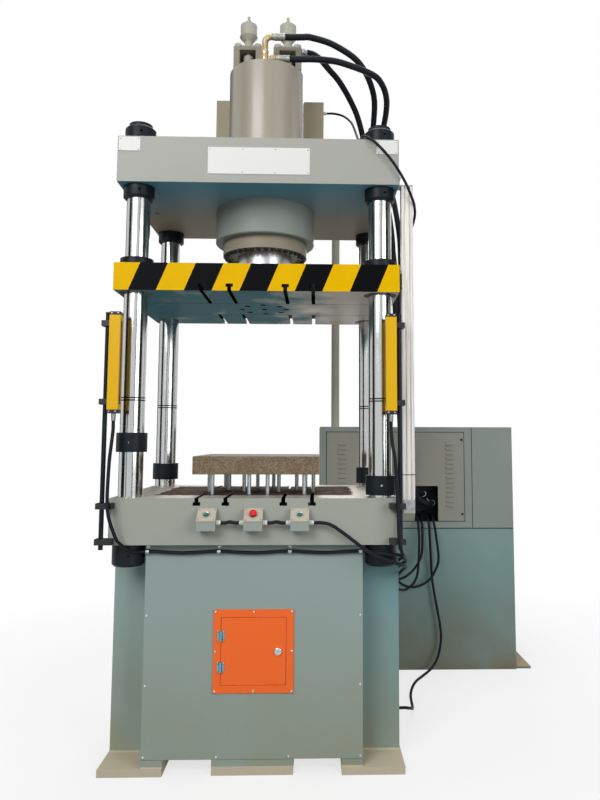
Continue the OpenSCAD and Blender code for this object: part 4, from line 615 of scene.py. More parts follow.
paint_head = head_finish()
paint_base = dust_over(sprayed_enamel("base_enamel", "98a9a5", "90a19b"), BASE_DUST, "989a82")
paint_leg = leg_finish()
paint_barrel = sprayed_enamel("barrel_enamel", "a29b8c", "989183", roughness=0.18, wear=0.35, specular=0.6)
paint_yoke = sprayed_enamel("yoke_enamel", "928c7e", "837d6f", roughness=0.42, wear=0.5)
paint_valve = sprayed_enamel("valve_enamel", "b4b2a7", "a3a195", roughness=0.36, wear=0.5)
paint_fill = sprayed_enamel("fill_tank_enamel", "a79e88", "988f79", roughness=0.42, wear=0.5)
paint_ring = sprayed_enamel("lock_ring_enamel", "949a93", "868c84")
paint_gland = sprayed_enamel("gland_enamel", "978d7b", "89806f")
paint_unit = sprayed_enamel("cabinet_enamel", "95a098", "88938a", roughness=0.4, wear=0.6)
paint_panel = sprayed_enamel("panel_enamel", "9b9b90", "8e8d81", roughness=0.4, wear=0.6)
paint_tank = tank_finish()
paint_bolster = bolster_finish()
paint_slide = slide_finish()
paint_motor = sprayed_enamel("motor_enamel", "4d5a62", "3c464d")
paint_orange = door_finish()
paint_yellow = sprayed_enamel("yellow_enamel", "eab500", "dea800", roughness=0.38)
paint_plate = sprayed_enamel("white_plate_enamel", "e9e9e5", "dededa", roughness=0.3)
chrome = hard_chrome("hard_chrome")
ram_chrome = hard_chrome("oiled_hard_chrome", roughness=0.3)
chrome_bar = column_finish()
blacked = black_oxide("black_oxide_steel")
zinc = zinc_plate("bright_zinc")
crimp_zinc = zinc_plate("dull_zinc", "a9aa9d", roughness=0.5)
screw_zinc = zinc_plate("new_zinc", "f4f5f5", roughness=0.3)
brass = turned_brass("turned_brass")
rubber = hose_cover("black_rubber")
aluminium = anodised_extrusion("anodised_aluminium")
rusted = rusted_plate("rusted_steel_plate")
box_plastic = moulded_plastic("grey_polycarbonate", "98a29d")
lid_plastic = moulded_plastic("beige_polycarbonate", "bfb4a1")
white_plastic = moulded_plastic("white_polyamide", "dfdfd9")
black_plastic = moulded_plastic("black_polyamide", "121417")
green_plastic = moulded_plastic("green_acrylic", "2f6b42", roughness=0.2)
red_plastic = moulded_plastic("red_acrylic", "e0000c", roughness=0.3)

FINISH = {
    paint_head: ["crosshead"],
    paint_bolster: ["bolster"],
    paint_slide: ["slide_plate"],
    paint_base: ["base_covers"],
    paint_leg: ["base_frame"],
    paint_barrel: ["cylinder_barrel"],
    paint_yoke: ["prefill_yokes"],
    paint_valve: ["prefill_actuators", "spindle_left", "spindle_right", "oil_pipes"],
    paint_fill: ["fill_tank"],
    paint_ring: ["lock_ring"],
    paint_gland: ["gland_ring"],
    paint_unit: ["pump_cabinet"],
    paint_panel: ["louvre_panel"],
    paint_tank: ["oil_tank"],
    paint_motor: ["motor_body", "pump_body", "cushion_cylinder"],
    paint_orange: ["door_surround", "access_door"],
    paint_yellow: ["curtain_housings"],
    paint_plate: ["blank_plates"],
    chrome: ["door_lock"],
    ram_chrome: ["ram"],
    chrome_bar: ["columns"],
    blacked: ["column_nuts", "stop_collars", "gland_screws", "curtain_poles", "valve_manifold",
              "guide_bushes"],
    zinc: ["cover_screws", "rail_brackets", "cable_clips", "motor_shaft", "cushion_platen", "cushion_pins"],
    brass: ["hose_fittings"],
    rubber: ["box_leads", "hose_upper", "hose_lower", "hose_rear", "sensor_lead", "button_lead",
             "curtain_lead_left", "curtain_lead_right", "supply_lead"],
    aluminium: ["sensor_rail"],
    rusted: ["blank_holder"],
    box_plastic: ["button_boxes"],
    lid_plastic: ["button_lids"],
    white_plastic: ["cable_glands"],
    black_plastic: ["pole_clamps", "curtain_caps", "rail_carriage"],
    green_plastic: ["start_button_left", "start_button_right"],
    red_plastic: ["emergency_stop"],
}
for material, names in FINISH.items():
    for name in names:
        nodes[name].data.materials.clear()
        nodes[name].data.materials.append(material)


# Hoses and leads along the same routes as the solids

def smooth_route(points, steps):
    """Catmull-Rom curve through points in millimetres, steps to a stretch, in metres."""
    p = [Vector(q) * MM for q in points]
    p = [2 * p[0] - p[1]] + p + [2 * p[-1] - p[-2]]
    curve = []
    for a, b, c, d in zip(p, p[1:], p[2:], p[3:]):
        for k in range(steps):
            t = k / steps
            curve.append(0.5 * (2 * b + (c - a) * t + (2 * a - 5 * b + 4 * c - d) * t * t
                                + (3 * b - a - 3 * c + d) * t ** 3))
    return curve + [p[-2]]


def run_cord(name, points, diameter_mm):
    """Round cord from one fitting of the press to another, in place of the solid of the same name."""
    route = smooth_route(points, steps=6)
    data = bpy.data.curves.new(name + "_line", "CURVE")
    data.dimensions = "3D"
    data.bevel_depth = diameter_mm * MM / 2
    data.bevel_resolution = 5
    data.use_fill_caps = True
    line = data.splines.new("POLY")
    line.points.add(len(route) - 1)
    for point, place in zip(line.points, route):
        point.co = (*place, 1)
    line.use_smooth = True
    data.materials.append(rubber)
    cord = bpy.data.objects.new(name + "_line", data)
    scene.collection.objects.link(cord)
    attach(cord, "frame")
    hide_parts(name)


HOSE = 26
LEAD = 12
SENSOR_LEAD = 10
CLIP_X = (-371, -123.67, 123.67, 371)
CLIP_SPAN = CLIP_X[1] - CLIP_X[0]
HARNESS = (-316, 754)
LEAD_SAG = 5

HOSE_UPPER = [(78, -90, 2790), (115, -90, 2790), (150, -87, 2793), (188, -78, 2797), (285, -40, 2787),
              (395, 25, 2744), (460, 115, 2652), (468, 240, 2548), (485, 310, 2475), (520, 370, 2370),
              (552, 400, 2240), (572, 412, 2100), (578, 415, 1950), (592, 440, 1650), (601, 468, 1480),
              (612, 510, 1310), (626, 572, 1160), (640, 632, 1040), (668, 686, 900), (700, 716, 854),
              (738, 748, 832), (759, 768, 829), (782, 804, 827), (790, 843, 826), (790, 870, 826)]
HOSE_LOWER = [(97, -90, 2696), (140, -90, 2696), (190, -92, 2696), (250, -91, 2693), (315, -80, 2688),
              (440, -20, 2676), (488, 25, 2655), (512, 80, 2622), (516, 140, 2585), (510, 205, 2540),
              (512, 280, 2475), (545, 350, 2380), (582, 390, 2250), (606, 402, 2100), (612, 405, 1950),
              (626, 430, 1650), (636, 458, 1480), (647, 500, 1310), (660, 558, 1160), (674, 616, 1040),
              (684, 642, 965), (704, 668, 896), (738, 700, 846), (776, 736, 824), (806, 780, 818),
              (820, 830, 818), (820, 870, 818)]
HOSE_REAR = [(143, 10, 2784), (163, 10, 2784), (194, 15, 2779), (226, 34, 2766), (262, 70, 2744),
             (308, 124, 2720), (362, 196, 2668), (404, 256, 2600), (455, 348, 2450), (486, 390, 2360),
             (522, 422, 2260), (560, 442, 2140), (585, 449, 2000), (606, 472, 1700), (617, 498, 1540),
             (628, 534, 1380), (640, 584, 1230), (662, 676, 1030), (700, 718, 918), (734, 744, 886),
             (762, 782, 870), (775, 830, 864), (775, 870, 864)]
SENSOR = [(254, 230, 2625), (288, 230, 2625), (325, 210, 2606), (350, 158, 2562), (366, 84, 2500),
          (376, -80, 2368), (372, -230, 2284), (383, -334, 2259), (420, -371, 2222), (477, -371, 2160),
          (527, -365, 2084), (562, -337, 2020), (572, -317, 1996), (576, -294, 1974), (572, -276, 1950),
          (563, -268, 1926), (555, -267, 1904), (553, -268, 1882), (553, -268, 1860)]
BUTTON = [(207, -378, 859), (235, -378, 859), (268, -380, 851), (312, -381, 822), (404, -381, 756),
          (488, -383, 724), (529, -324, 702), (532, -190, 662), (532, 60, 578), (538, 190, 534),
          (560, 320, 494), (622, 520, 440), (660, 588, 434), (696, 626, 456), (716, 642, 506),
          (727, 664, 630), (729, 688, 690), (730, 724, 738), (731, 776, 765), (728, 830, 772),
          (728, 870, 772)]
CURTAIN_LEFT = [(-487, -375, 1207), (-487, -375, 1172), (-489, -384, 1120), (-492, -392, 1050),
                (-491, -396, 905), (-466, -386, 815), (-450, -372, 786), (-421, -344, 759),
                (-409, -335, 755), (-398, -325, 754), (-385, -318, 754), (-371, -316, 754)]
ALONG_CLIPS = [(x + share * CLIP_SPAN, HARNESS[0], HARNESS[1] - (LEAD_SAG if share == 0.5 else 0))
               for x in CLIP_X[:3] for share in (0.08, 0.5, 0.92, 1)][:-1]
ALONG_LEG = [(371, -316, 754), (385, -318, 754), (398, -325, 754), (409, -335, 754), (421, -344, 753),
             (456, -357, 750), (504, -345, 745), (530, -295, 733), (531, -180, 706), (531, 70, 640),
             (536, 210, 602), (552, 350, 560), (580, 462, 516), (616, 560, 466), (664, 644, 430),
             (720, 690, 420), (778, 704, 446), (814, 706, 498), (830, 707, 556), (818, 711, 672),
             (812, 725, 722), (811, 756, 747), (812, 800, 754), (812, 870, 754)]
CURTAIN_RIGHT = [(475, -375, 1207), (475, -375, 1172), (479, -385, 1122), (487, -393, 1066),
                 (494, -398, 930), (498, -398, 810), (512, -378, 750), (531, -310, 720), (532, -150, 676),
                 (532, 110, 598), (541, 240, 556), (566, 370, 522), (602, 480, 498), (644, 574, 490),
                 (688, 642, 504), (724, 678, 538), (744, 692, 586), (750, 708, 690), (750, 732, 732),
                 (753, 772, 751), (757, 826, 754), (757, 870, 754)]
SUPPLY = [(784, 870, 768), (784, 838, 768), (784, 806, 763), (784, 778, 754), (784, 728, 730),
          (786, 706, 676), (796, 724, 500), (806, 724, 400), (838, 720, 210), (836, 718, 130),
          (816, 706, 66), (782, 682, 28), (736, 640, 10), (692, 570, 8), (660, 480, 8), (640, 380, 8),
          (626, 222, 20), (607, 138, 50), (596, 112, 60), (580, 96, 68), (559, 90, 70), (538, 90, 70)]

run_cord("hose_upper", HOSE_UPPER, HOSE)
run_cord("hose_lower", HOSE_LOWER, HOSE)
run_cord("hose_rear", HOSE_REAR, HOSE)
run_cord("sensor_lead", SENSOR, SENSOR_LEAD)
run_cord("button_lead", BUTTON, LEAD)
run_cord("curtain_lead_left", CURTAIN_LEFT + ALONG_CLIPS + ALONG_LEG, LEAD)
run_cord("curtain_lead_right", CURTAIN_RIGHT, LEAD)
run_cord("supply_lead", SUPPLY, LEAD)


# Mesh tools for the turned, bent and cut pieces

def turned(profile, sides=36):
    """Solid of revolution about +Z; rows are (radius, height) or (corner radius, height, number of flats)."""
    verts = []
    rings = []
    for radius, height, *flats in profile:
        if radius == 0:
            rings.append([len(verts)] * sides)
            verts.append((0, 0, height))
            continue
        rings.append(range(len(verts), len(verts) + sides))
        for k in range(sides):
            angle = 2 * math.pi * k / sides
            reach = radius
            if flats:
                half = math.pi / flats[0]
                reach = radius * math.cos(half) / math.cos(angle % (2 * half) - half)
            verts.append((reach * math.cos(angle), reach * math.sin(angle), height))
    if profile[0][0] > 0:
        rings.append(rings[0])
    faces = []
    for low, high in zip(rings, rings[1:]):
        for k in range(sides):
            m = (k + 1) % sides
            faces.append(list(dict.fromkeys([low[k], low[m], high[m], high[k]])))
    return verts, faces


def slab(size, soft=0.0):
    """Box of a size centred on the origin, its upright edges and its top and bottom rims cut back by soft."""
    x, y, z = [s / 2 for s in size]
    ring = [(x - soft, y), (x, y - soft), (x, soft - y), (x - soft, -y),
            (soft - x, -y), (-x, soft - y), (-x, y - soft), (soft - x, y)]
    shrink = [(-z, soft), (soft - z, 0), (z - soft, 0), (z, soft)]
    verts = []
    for height, inset in shrink:
        for px, py in ring:
            verts.append((px * (x - inset) / x, py * (y - inset) / y, height))
    n = len(ring)
    faces = [[i * n + k, i * n + (k - 1) % n, (i + 1) * n + (k - 1) % n, (i + 1) * n + k]
             for i in range(3) for k in range(n)]
    faces.append(list(range(n)))
    faces.append([3 * n + k for k in range(n)][::-1])
    return verts, faces


def swept(path, radius, sides=20, closed=False):
    """Round bar of a radius along a path of points."""
    points = [Vector(p) for p in path]
    count = len(points)
    verts = []
    side = None
    for i, place in enumerate(points):
        ahead = points[(i + 1) % count] if closed else points[min(i + 1, count - 1)]
        back = points[i - 1] if closed or i else points[0]
        heading = (ahead - back).normalized()
        if side is None:
            side = heading.orthogonal()
        side = (side - heading * side.dot(heading)).normalized()
        other = heading.cross(side)
        for k in range(sides):
            angle = 2 * math.pi * k / sides
            verts.append(place + radius * (math.cos(angle) * side + math.sin(angle) * other))
    steps = count if closed else count - 1
    faces = [[i * sides + k, i * sides + (k + 1) % sides,
              (i + 1) % count * sides + (k + 1) % sides, (i + 1) % count * sides + k]
             for i in range(steps) for k in range(sides)]
    if not closed:
        faces.append(list(range(sides))[::-1])
        faces.append([(count - 1) * sides + k for k in range(sides)])
    return verts, faces


def put(part, place, axis=UP):
    """A part in millimetres moved to place, with its +Z turned along axis."""
    turn = Vector(UP).rotation_difference(Vector(axis)).to_matrix()
    verts, faces = part
    return [turn @ Vector(v) + Vector(place) for v in verts], faces


SHARP_EDGE = 32


def piece(name, parts, material, body, stands_for=()):
    """One object from parts in millimetres, riding on a body; turned faces are smooth and edges sharp."""
    verts = []
    faces = []
    for part_verts, part_faces in parts:
        first = len(verts)
        verts += [Vector(v) * MM for v in part_verts]
        faces += [[first + i for i in face] for face in part_faces]
    mesh = bpy.data.meshes.new(name)
    mesh.from_pydata(verts, [], faces)
    mesh.polygons.foreach_set("use_smooth", [True] * len(faces))
    mesh.set_sharp_from_angle(angle=math.radians(SHARP_EDGE))
    mesh.materials.append(material)
    made = bpy.data.objects.new(name, mesh)
    scene.collection.objects.link(made)
    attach(made, body)
    if stands_for:
        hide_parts(*stands_for)


def dome(radius, rise, foot, steps=5):
    """Profile rows of a low dome that starts at height foot and closes on the axis."""
    rows = []
    for k in range(steps + 1):
        angle = math.pi / 2 * k / steps
        rows.append((radius * math.cos(angle) if k < steps else 0, foot + rise * math.sin(angle)))
    return rows


# Domed socket screws of the covers and the door's border

SCREW_SHANK = [(0, -14), (2.5, -14), (2.5, 0)]
SCREW_HEAD = [(4.5, 0), (4.5, 1.2), (4.2, 2.4), (3.5, 3.4), (2.6, 3.9), (1.9, 3.9, 6), (1.8, 1.6, 6),
              (0, 1.6)]
COVER_FRONT = -304
CLIP_SEAT = -306
BORDER_FRONT = -308
SCREW_ROWS = (63, 298.33, 533.67, 769)
DOOR_Z = 413
BORDER_SCREWS = (132.5, 133.5)

screw = turned(SCREW_SHANK + SCREW_HEAD, sides=24)
screws = []
for i, x in enumerate(CLIP_X):
    for k, z in enumerate(SCREW_ROWS):
        if k in (0, 3) or i in (0, 3):
            screws.append(put(screw, (x, CLIP_SEAT if k == 3 else COVER_FRONT, z), FORWARD))
            screws.append(put(screw, (x, -COVER_FRONT, z), BACKWARD))
for i in (-1, 0, 1):
    for k in (-1, 0, 1):
        if i or k:
            place = (i * BORDER_SCREWS[0], BORDER_FRONT, DOOR_Z + k * BORDER_SCREWS[1])
            screws.append(put(screw, place, FORWARD))
piece("domed_screws", screws, screw_zinc, "frame", ["cover_screws"])


# Brass tee and elbow on the barrel, and the crimped hose ends

TEE = (-4, -90)
BARREL_TOP = 2658
LOW_OUTLET = 2696
HIGH_OUTLET = 2790
ELBOW = 25
ELBOW_TUBE = 13
BEND_STEPS = 10
LOW_END = 47
HIGH_END = 28

foot = turned([(0, 0), (17, 0, 6), (18, 1.5, 6), (18, 20, 6), (16, 22, 6), (14, 22), (13, 23), (13, 25),
               (16, 27), (17, 31), (17, 45), (16, 50), (13, 53), (13, 60), (15, 61, 6), (15, 72, 6), (13, 73),
               (13, 107), (0, 107)])
low_outlet = turned([(0, 0), (11, 0), (11, 21), (14, 22, 6), (16, 24, 6), (16, 42, 6), (14, 45, 6),
                     (11, 46), (11, 51), (0, 51)])
high_nut = turned([(0, -1), (13, -1), (13, 0), (14.5, 0.6, 6), (15.5, 1.5, 6), (15.5, 6, 6), (14.5, 7, 6),
                   (0, 7)])
bend_middle = (TEE[0] + ELBOW, TEE[1], HIGH_OUTLET - ELBOW)
bend = [(bend_middle[0] - ELBOW * math.cos(a), TEE[1], bend_middle[2] + ELBOW * math.sin(a))
        for a in [math.pi / 2 * k / BEND_STEPS for k in range(BEND_STEPS + 1)]]
piece("brass_tee", [put(foot, (*TEE, BARREL_TOP)), put(low_outlet, (*TEE, LOW_OUTLET), RIGHTWARD),
                    swept(bend, ELBOW_TUBE, sides=28),
                    put(high_nut, (bend[-1][0], TEE[1], HIGH_OUTLET), RIGHTWARD)],
      brass, "frame", ["hose_fittings"])

FERRULE = 50
CRIMP_COUNT = 6
CRIMP_START = 7
CRIMP_PITCH = 6
crimp_rows = [(0, 0), (13.5, 0), (14.4, 1), (14.4, 5)]
for k in range(CRIMP_COUNT):
    z = CRIMP_START + CRIMP_PITCH * k
    crimp_rows += [(15, z), (15, z + 3), (14.2, z + 4), (14.2, z + 5)]
crimp_rows += [(15, 44), (15, 48.5), (14.2, FERRULE), (0, FERRULE)]
crimp = turned(crimp_rows, sides=32)
piece("crimped_ferrules", [put(crimp, (LOW_END, TEE[1], LOW_OUTLET), RIGHTWARD),
                           put(crimp, (HIGH_END, TEE[1], HIGH_OUTLET), RIGHTWARD)],
      crimp_zinc, "frame", ["hose_fittings"])


# Cable glands: hexagon, neck and domed sealing nut

BOX_X = (-159, 0, 159)
BOX_HALF = 32
GLAND_AXIS = (-378, 859)
GLAND_LENGTH = 16
LEG_GLAND = (522, 90, 70)
TANK_GLAND = (238, 230, 2625)
GLAND = [(0, 0), (8.4, 0, 6), (9, 0.8, 6), (9, 5, 6), (8.4, 5.8, 6), (7.6, 6), (7.6, 7), (8.8, 7.6, 6),
         (8.8, 11.5, 6), (8.2, 13), (7.4, 14.6), (6.6, GLAND_LENGTH), (6.05, GLAND_LENGTH), (6.05, 14),
         (0, 14)]
gland = turned(GLAND)
glands = [put(gland, (x + BOX_HALF, *GLAND_AXIS), RIGHTWARD) for x in BOX_X]
glands += [put(gland, (x - BOX_HALF, *GLAND_AXIS), LEFTWARD) for x in BOX_X[1:]]
glands += [put(gland, place, RIGHTWARD) for place in (LEG_GLAND, TANK_GLAND)]
piece("sealing_glands", glands, white_plastic, "frame", ["cable_glands"])

LINK = [(0, 0, 0), (14, 0, 0), (31, 0, 3), (49, 0, 0), (63, 0, 0)]
links = []
for x in BOX_X[:2]:
    start = Vector((x + BOX_HALF + GLAND_LENGTH, *GLAND_AXIS))
    links.append(swept([q / MM + start for q in smooth_route(LINK, steps=8)], LEAD / 2))
piece("box_link_leads", links, rubber, "frame", ["box_leads"])


# Button boxes: lid screws, bezels, start buttons and the mushroom stop

LID_MIDDLE = (-381, 884)
LID_NORMAL = Vector((0, -0.6897, 0.7241))
LID_UP = Vector((0, 0.7241, 0.6897))
LID_THICKNESS = 4
LID_SCREWS = (26, 23)


def on_lid(x, across, up, lift):
    """Point on the lid of the box at x."""
    return Vector((x + across, *LID_MIDDLE)) + LID_UP * up + LID_NORMAL * lift


lid_screw = turned([(0, -1), (3, -1), (3, 0.8), (2.6, 1.5), (1.7, 1.9), (1.3, 1.9, 6), (1.2, 1, 6),
                    (0, 1)], sides=24)
bezel = turned([(9, -0.5), (14, -0.5), (14, 1.2), (13.2, 2.2), (11, 2.4), (9.6, 1.6), (9, 1.4)], sides=40)
lid_screws = []
bezels = []
for x in BOX_X:
    bezels.append(put(bezel, on_lid(x, 0, 0, LID_THICKNESS), LID_NORMAL))
    for across in (-LID_SCREWS[0], LID_SCREWS[0]):
        for up in (-LID_SCREWS[1], LID_SCREWS[1]):
            lid_screws.append(put(lid_screw, on_lid(x, across, up, LID_THICKNESS), LID_NORMAL))
piece("lid_screws", lid_screws, zinc, "frame")
piece("button_bezels", bezels, zinc, "frame")

push_button = turned([(0, -14), (8, -14), (8, 5.4), (7.6, 6.4), (6.6, 7), (5.8, 6.8), (4, 6.5), (0, 6.3)])
mushroom = turned([(0, -14), (8, -14), (8, 10.8), (11.5, 10.9), (12.8, 11.5), (13, 12.6), (12.6, 15),
                   (11.4, 17.4), (8.6, 18.7), (4.5, 19), (0, 19)], sides=40)
for side, x in (("left", BOX_X[0]), ("right", BOX_X[2])):
    piece("push_button_" + side, [put(push_button, on_lid(x, 0, 0, 0), LID_NORMAL)], green_plastic,
          "start_button_" + side, ["start_button_" + side])
piece("mushroom_stop", [put(mushroom, on_lid(0, 0, 0, 0), LID_NORMAL)], red_plastic, "emergency_stop",
      ["emergency_stop"])


# Light curtains: windows, end caps with their screws, and the metal connectors

CURTAIN_X = (-487, 475)
CURTAIN_Y = -375
CURTAIN_Z = (1232, 1586)
CURTAIN_SIZE = (38, 40)
CAP = 12
CAP_SCREW = 11
WINDOW = (1.6, 19.6, 289.6)
WINDOW_SEAT = 1.1
windows = []
caps = []
connectors = []
cap_screws = []
plug = turned([(0, -25), (6.2, -25), (7.4, -23), (7.4, -12), (8, -11), (8, -3), (7, -2), (7, 0.5),
               (0, 0.5)])
for i, x in enumerate(CURTAIN_X):
    inward = 1 - 2 * i
    face_x = x + inward * (CURTAIN_SIZE[0] / 2 - WINDOW_SEAT)
    windows.append(put(slab(WINDOW, soft=0.3), (face_x, CURTAIN_Y, sum(CURTAIN_Z) / 2)))
    connectors.append(put(plug, (x, CURTAIN_Y, CURTAIN_Z[0])))
    for z in (CURTAIN_Z[0] + CAP / 2, CURTAIN_Z[1] - CAP / 2):
        caps.append(put(slab((*CURTAIN_SIZE, CAP), soft=1.5), (x, CURTAIN_Y, z)))
        for across in (-CAP_SCREW, CAP_SCREW):
            cap_screws.append(put(lid_screw, (x + across, CURTAIN_Y - CURTAIN_SIZE[1] / 2, z), FORWARD))
piece("curtain_windows", windows, black_plastic, "frame")
piece("curtain_end_caps", caps, black_plastic, "frame", ["curtain_caps"])
piece("curtain_connectors", connectors, zinc, "frame", ["curtain_caps"])
piece("curtain_cap_screws", cap_screws, zinc, "frame")


# Rivets of the bare plates on the crosshead

PLATE_FRONT = -352
NAME_PLATE = ((-178, -59, 59, 178), (2109, 2195))
CORNER_PLATES = ((-500, -436, 436, 500), (2190, 2230))
rivet = turned([(0, -0.5), (3, -0.5)] + dome(radius=3, rise=1.4, foot=0), sides=20)
rivets = []
for columns, rows in (NAME_PLATE, CORNER_PLATES):
    rivets += [put(rivet, (x, PLATE_FRONT, z), FORWARD) for x in columns for z in rows]
piece("plate_rivets", rivets, zinc, "frame")


# Hinge screws on both halves, and the door lock's domed face with its key slot

HINGE_X = -112.75
HINGE_FRONT = -310
HINGE_Z = (360.5, 465.5)
HINGE_LEAF = 9.3
HINGE_SCREW_UP = 11
hinge_screw = turned([(0, -0.5), (3.4, -0.5), (3.4, 0.3), (2.2, 1.5), (0.9, 1.7), (0.8, 1), (0, 1)], sides=20)
for half, offset, body in (("fixed", -HINGE_LEAF, "frame"), ("moving", HINGE_LEAF, "access_door")):
    heads = [put(hinge_screw, (HINGE_X + offset, HINGE_FRONT, z + up), FORWARD)
             for z in HINGE_Z for up in (-HINGE_SCREW_UP, HINGE_SCREW_UP)]
    piece("hinge_screws_" + half, heads, zinc, body)

LOCK = (85, -314.3, DOOR_Z)
KEY_SLOT = (1.6, 0.6, 6.4)
KEY_SLOT_OUT = 2.3
lock_face = turned([(0, -0.5), (12.6, -0.5)] + dome(radius=12.6, rise=3.4, foot=0)[:4]
                   + [(4.6, 3.1), (4.4, 2.2), (0, 2.2)], sides=40)
piece("lock_face", [put(lock_face, LOCK, FORWARD)], chrome, "door_lock")
piece("key_slot", [put(slab(KEY_SLOT, soft=0.15), (LOCK[0], LOCK[1] - KEY_SLOT_OUT, LOCK[2]))], black_plastic,
      "door_lock")


# Sensor rail: end plate with its bolts, bracket bolts and a tie; the tie round the three hoses

RAIL_X = (523, 565)
RAIL_Y = (-320, -280)
END_PLATE = (41, 4, 46)
END_PLATE_Z = 909
END_BOLTS = ((-12, -9), (12, -9), (0, 12))
BRACKET_BOLTS = ((517, -310, 2112), (517, -290, 2112))
rail_bolt = turned([(0, -2), (5, -2), (5, 5), (4.4, 5.6), (3.2, 5.6), (3, 5.6, 6), (2.8, 2.6, 6),
                    (0, 2.6)], sides=24)
rail_middle = sum(RAIL_X) / 2
rail_plate = [put(slab(END_PLATE, soft=0.8), (rail_middle, RAIL_Y[0] - END_PLATE[1] / 2, END_PLATE_Z))]
rail_bolts = [put(rail_bolt, (rail_middle + across, RAIL_Y[0] - END_PLATE[1], END_PLATE_Z + up), FORWARD)
              for across, up in END_BOLTS]
rail_bolts += [put(rail_bolt, place, RIGHTWARD) for place in BRACKET_BOLTS]
piece("rail_end_plate", rail_plate, zinc, "frame")
piece("rail_bolts", rail_bolts, zinc, "frame")

RAIL_TIE_Z = 1020
RAIL_TIE_OUT = 1.2
CORNER_STEPS = 4
tie_path = []
for corner, (i, j) in enumerate(((1, 1), (0, 1), (0, 0), (1, 0))):
    for k in range(CORNER_STEPS + 1):
        angle = math.pi / 2 * (corner + k / CORNER_STEPS)
        tie_path.append((RAIL_X[i] + RAIL_TIE_OUT * math.cos(angle),
                         RAIL_Y[j] + RAIL_TIE_OUT * math.sin(angle), RAIL_TIE_Z))
piece("rail_tie", [swept(tie_path, 1.4, sides=10, closed=True)], black_plastic, "frame")

BUNDLE_Z = 1950
BUNDLE = ((578, 415), (612, 405), (588.5, 451.5))
BUNDLE_TIE_OUT = 14.2
BUNDLE_STEPS = 72
bundle_tie = []
for k in range(BUNDLE_STEPS):
    angle = 2 * math.pi * k / BUNDLE_STEPS
    out = Vector((math.cos(angle), math.sin(angle)))
    middle = max(BUNDLE, key=lambda hose: out.dot(Vector(hose)))
    bundle_tie.append((middle[0] + BUNDLE_TIE_OUT * out.x, middle[1] + BUNDLE_TIE_OUT * out.y, BUNDLE_Z))
piece("bundle_tie", [swept(bundle_tie, 1.6, sides=10, closed=True)], white_plastic, "frame")


# Stud nuts and actuator screws on the valve yokes, the rear hose's nut and the hose ends on the manifold

YOKE_X = (-84, 84)
YOKE_TOP = 2798
STUDS = ((-42, 42), (12, 86))
NECK_SCREWS = ((-22, 22), (6, 62))


def on_yokes(part, columns, rows):
    """Copies of a part on the tops of both yokes, in columns across and rows behind one another."""
    return [put(part, (x + across, y, YOKE_TOP)) for x in YOKE_X for across in columns for y in rows]


stud_nut = turned([(0, -1), (15, -1), (15.5, 0), (15.5, 15), (14, 18), (10.5, 20), (5, 21), (0, 21)])
piece("yoke_stud_nuts", on_yokes(stud_nut, *STUDS), paint_valve, "frame")

neck_screw = turned([(0, -1), (5, -1), (5, 11), (4.2, 12), (2.6, 12, 6), (2.5, 7, 6), (0, 7)], sides=24)
piece("actuator_screws", on_yokes(neck_screw, *NECK_SCREWS), zinc, "frame")

rear_nut = turned([(13.1, 0), (16, 0, 6), (17.5, 1.5, 6), (17.5, 12, 6), (16, 13.5, 6), (15.5, 14),
                   (15.5, 24), (14.6, 25), (13.1, 25)])
manifold_ends = [put(crimp, hose[-1], FORWARD) for hose in (HOSE_UPPER, HOSE_LOWER, HOSE_REAR)]
piece("hose_end_sleeves", manifold_ends + [put(rear_nut, HOSE_REAR[0], RIGHTWARD)], zinc, "frame")


# Ring of socket screws under the gland

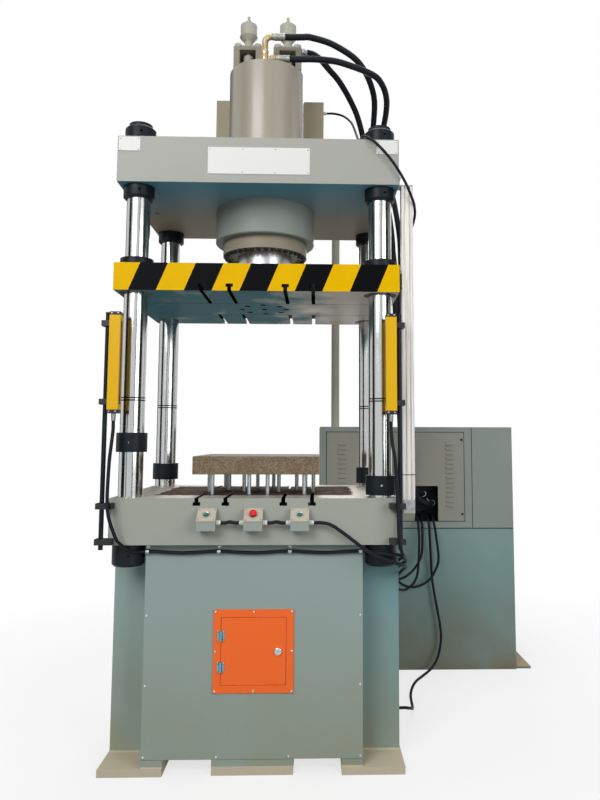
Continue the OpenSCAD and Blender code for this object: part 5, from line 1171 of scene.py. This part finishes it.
GLAND_FOOT = 1884
GLAND_SCREW_CIRCLE = 157
GLAND_SCREWS = 36
gland_head = turned([(0, -5), (4.6, -5, 6), (4.8, -10, 6), (5, -10), (7.4, -10), (8, -9), (8, 1), (0, 1)],
                    sides=24)
gland_heads = []
for k in range(GLAND_SCREWS):
    angle = 2 * math.pi * (k + 0.5) / GLAND_SCREWS
    place = (GLAND_SCREW_CIRCLE * math.cos(angle), GLAND_SCREW_CIRCLE * math.sin(angle), GLAND_FOOT)
    gland_heads.append(put(gland_head, place))
piece("gland_socket_heads", gland_heads, blacked, "frame")


# Power unit: black strips of painted shade in the gaps round the louvred panel, in the cabinet's seam and on
# the tank, and the turn locks

PANEL_X = (268, 975)
PANEL_Z = (732, 1183)
CABINET_X = (235, 1224)
# Black strips of painted shade in the gaps, drawn in rubber
PANEL_SHADE_Y = 753.6
SHADE_STRIP = (4, 2.6)
SEAM_SHADE = (2.8, 2, 508)
SEAM_MIDDLE = (1015.5, 756.2, 953)
TANK_SHADE = (CABINET_X[1] - CABINET_X[0], 2.4, 4)
TANK_SHADE_MIDDLE = (sum(CABINET_X) / 2, 754.6, 696)
panel_shade_corners = [(PANEL_X[i], PANEL_SHADE_Y, PANEL_Z[k]) for i, k in ((0, 0), (1, 0), (1, 1), (0, 1))]
bars = []
for start, end in zip(panel_shade_corners, panel_shade_corners[1:] + panel_shade_corners[:1]):
    size = [abs(b - a) for a, b in zip(start, end)]
    middle = [(a + b) / 2 for a, b in zip(start, end)]
    bars.append(put(slab((size[0] + SHADE_STRIP[0], SHADE_STRIP[1], size[2] + SHADE_STRIP[0]), soft=0.6), middle))
bars.append(put(slab(SEAM_SHADE, soft=0.4), SEAM_MIDDLE))
bars.append(put(slab(TANK_SHADE, soft=0.6), TANK_SHADE_MIDDLE))
piece("cabinet_gap_shade", bars, rubber, "frame")

turn_lock = turned([(0, -2), (6, -2), (6, 2.4), (5.2, 3.2), (4.2, 3.2), (4, 2), (0, 2)], sides=32)
turn_bar = slab((2, 2.4, 7), soft=0.3)
PANEL_LOCK_X = 963
PANEL_LOCK_Z = (767, 1145)
PANEL_FRONT = 752
TURN_BAR_OUT = 2.8
locks = []
for z in PANEL_LOCK_Z:
    locks.append(put(turn_lock, (PANEL_LOCK_X, PANEL_FRONT, z), FORWARD))
    locks.append(put(turn_bar, (PANEL_LOCK_X, PANEL_FRONT - TURN_BAR_OUT, z)))
piece("panel_turn_locks", locks, black_plastic, "frame")
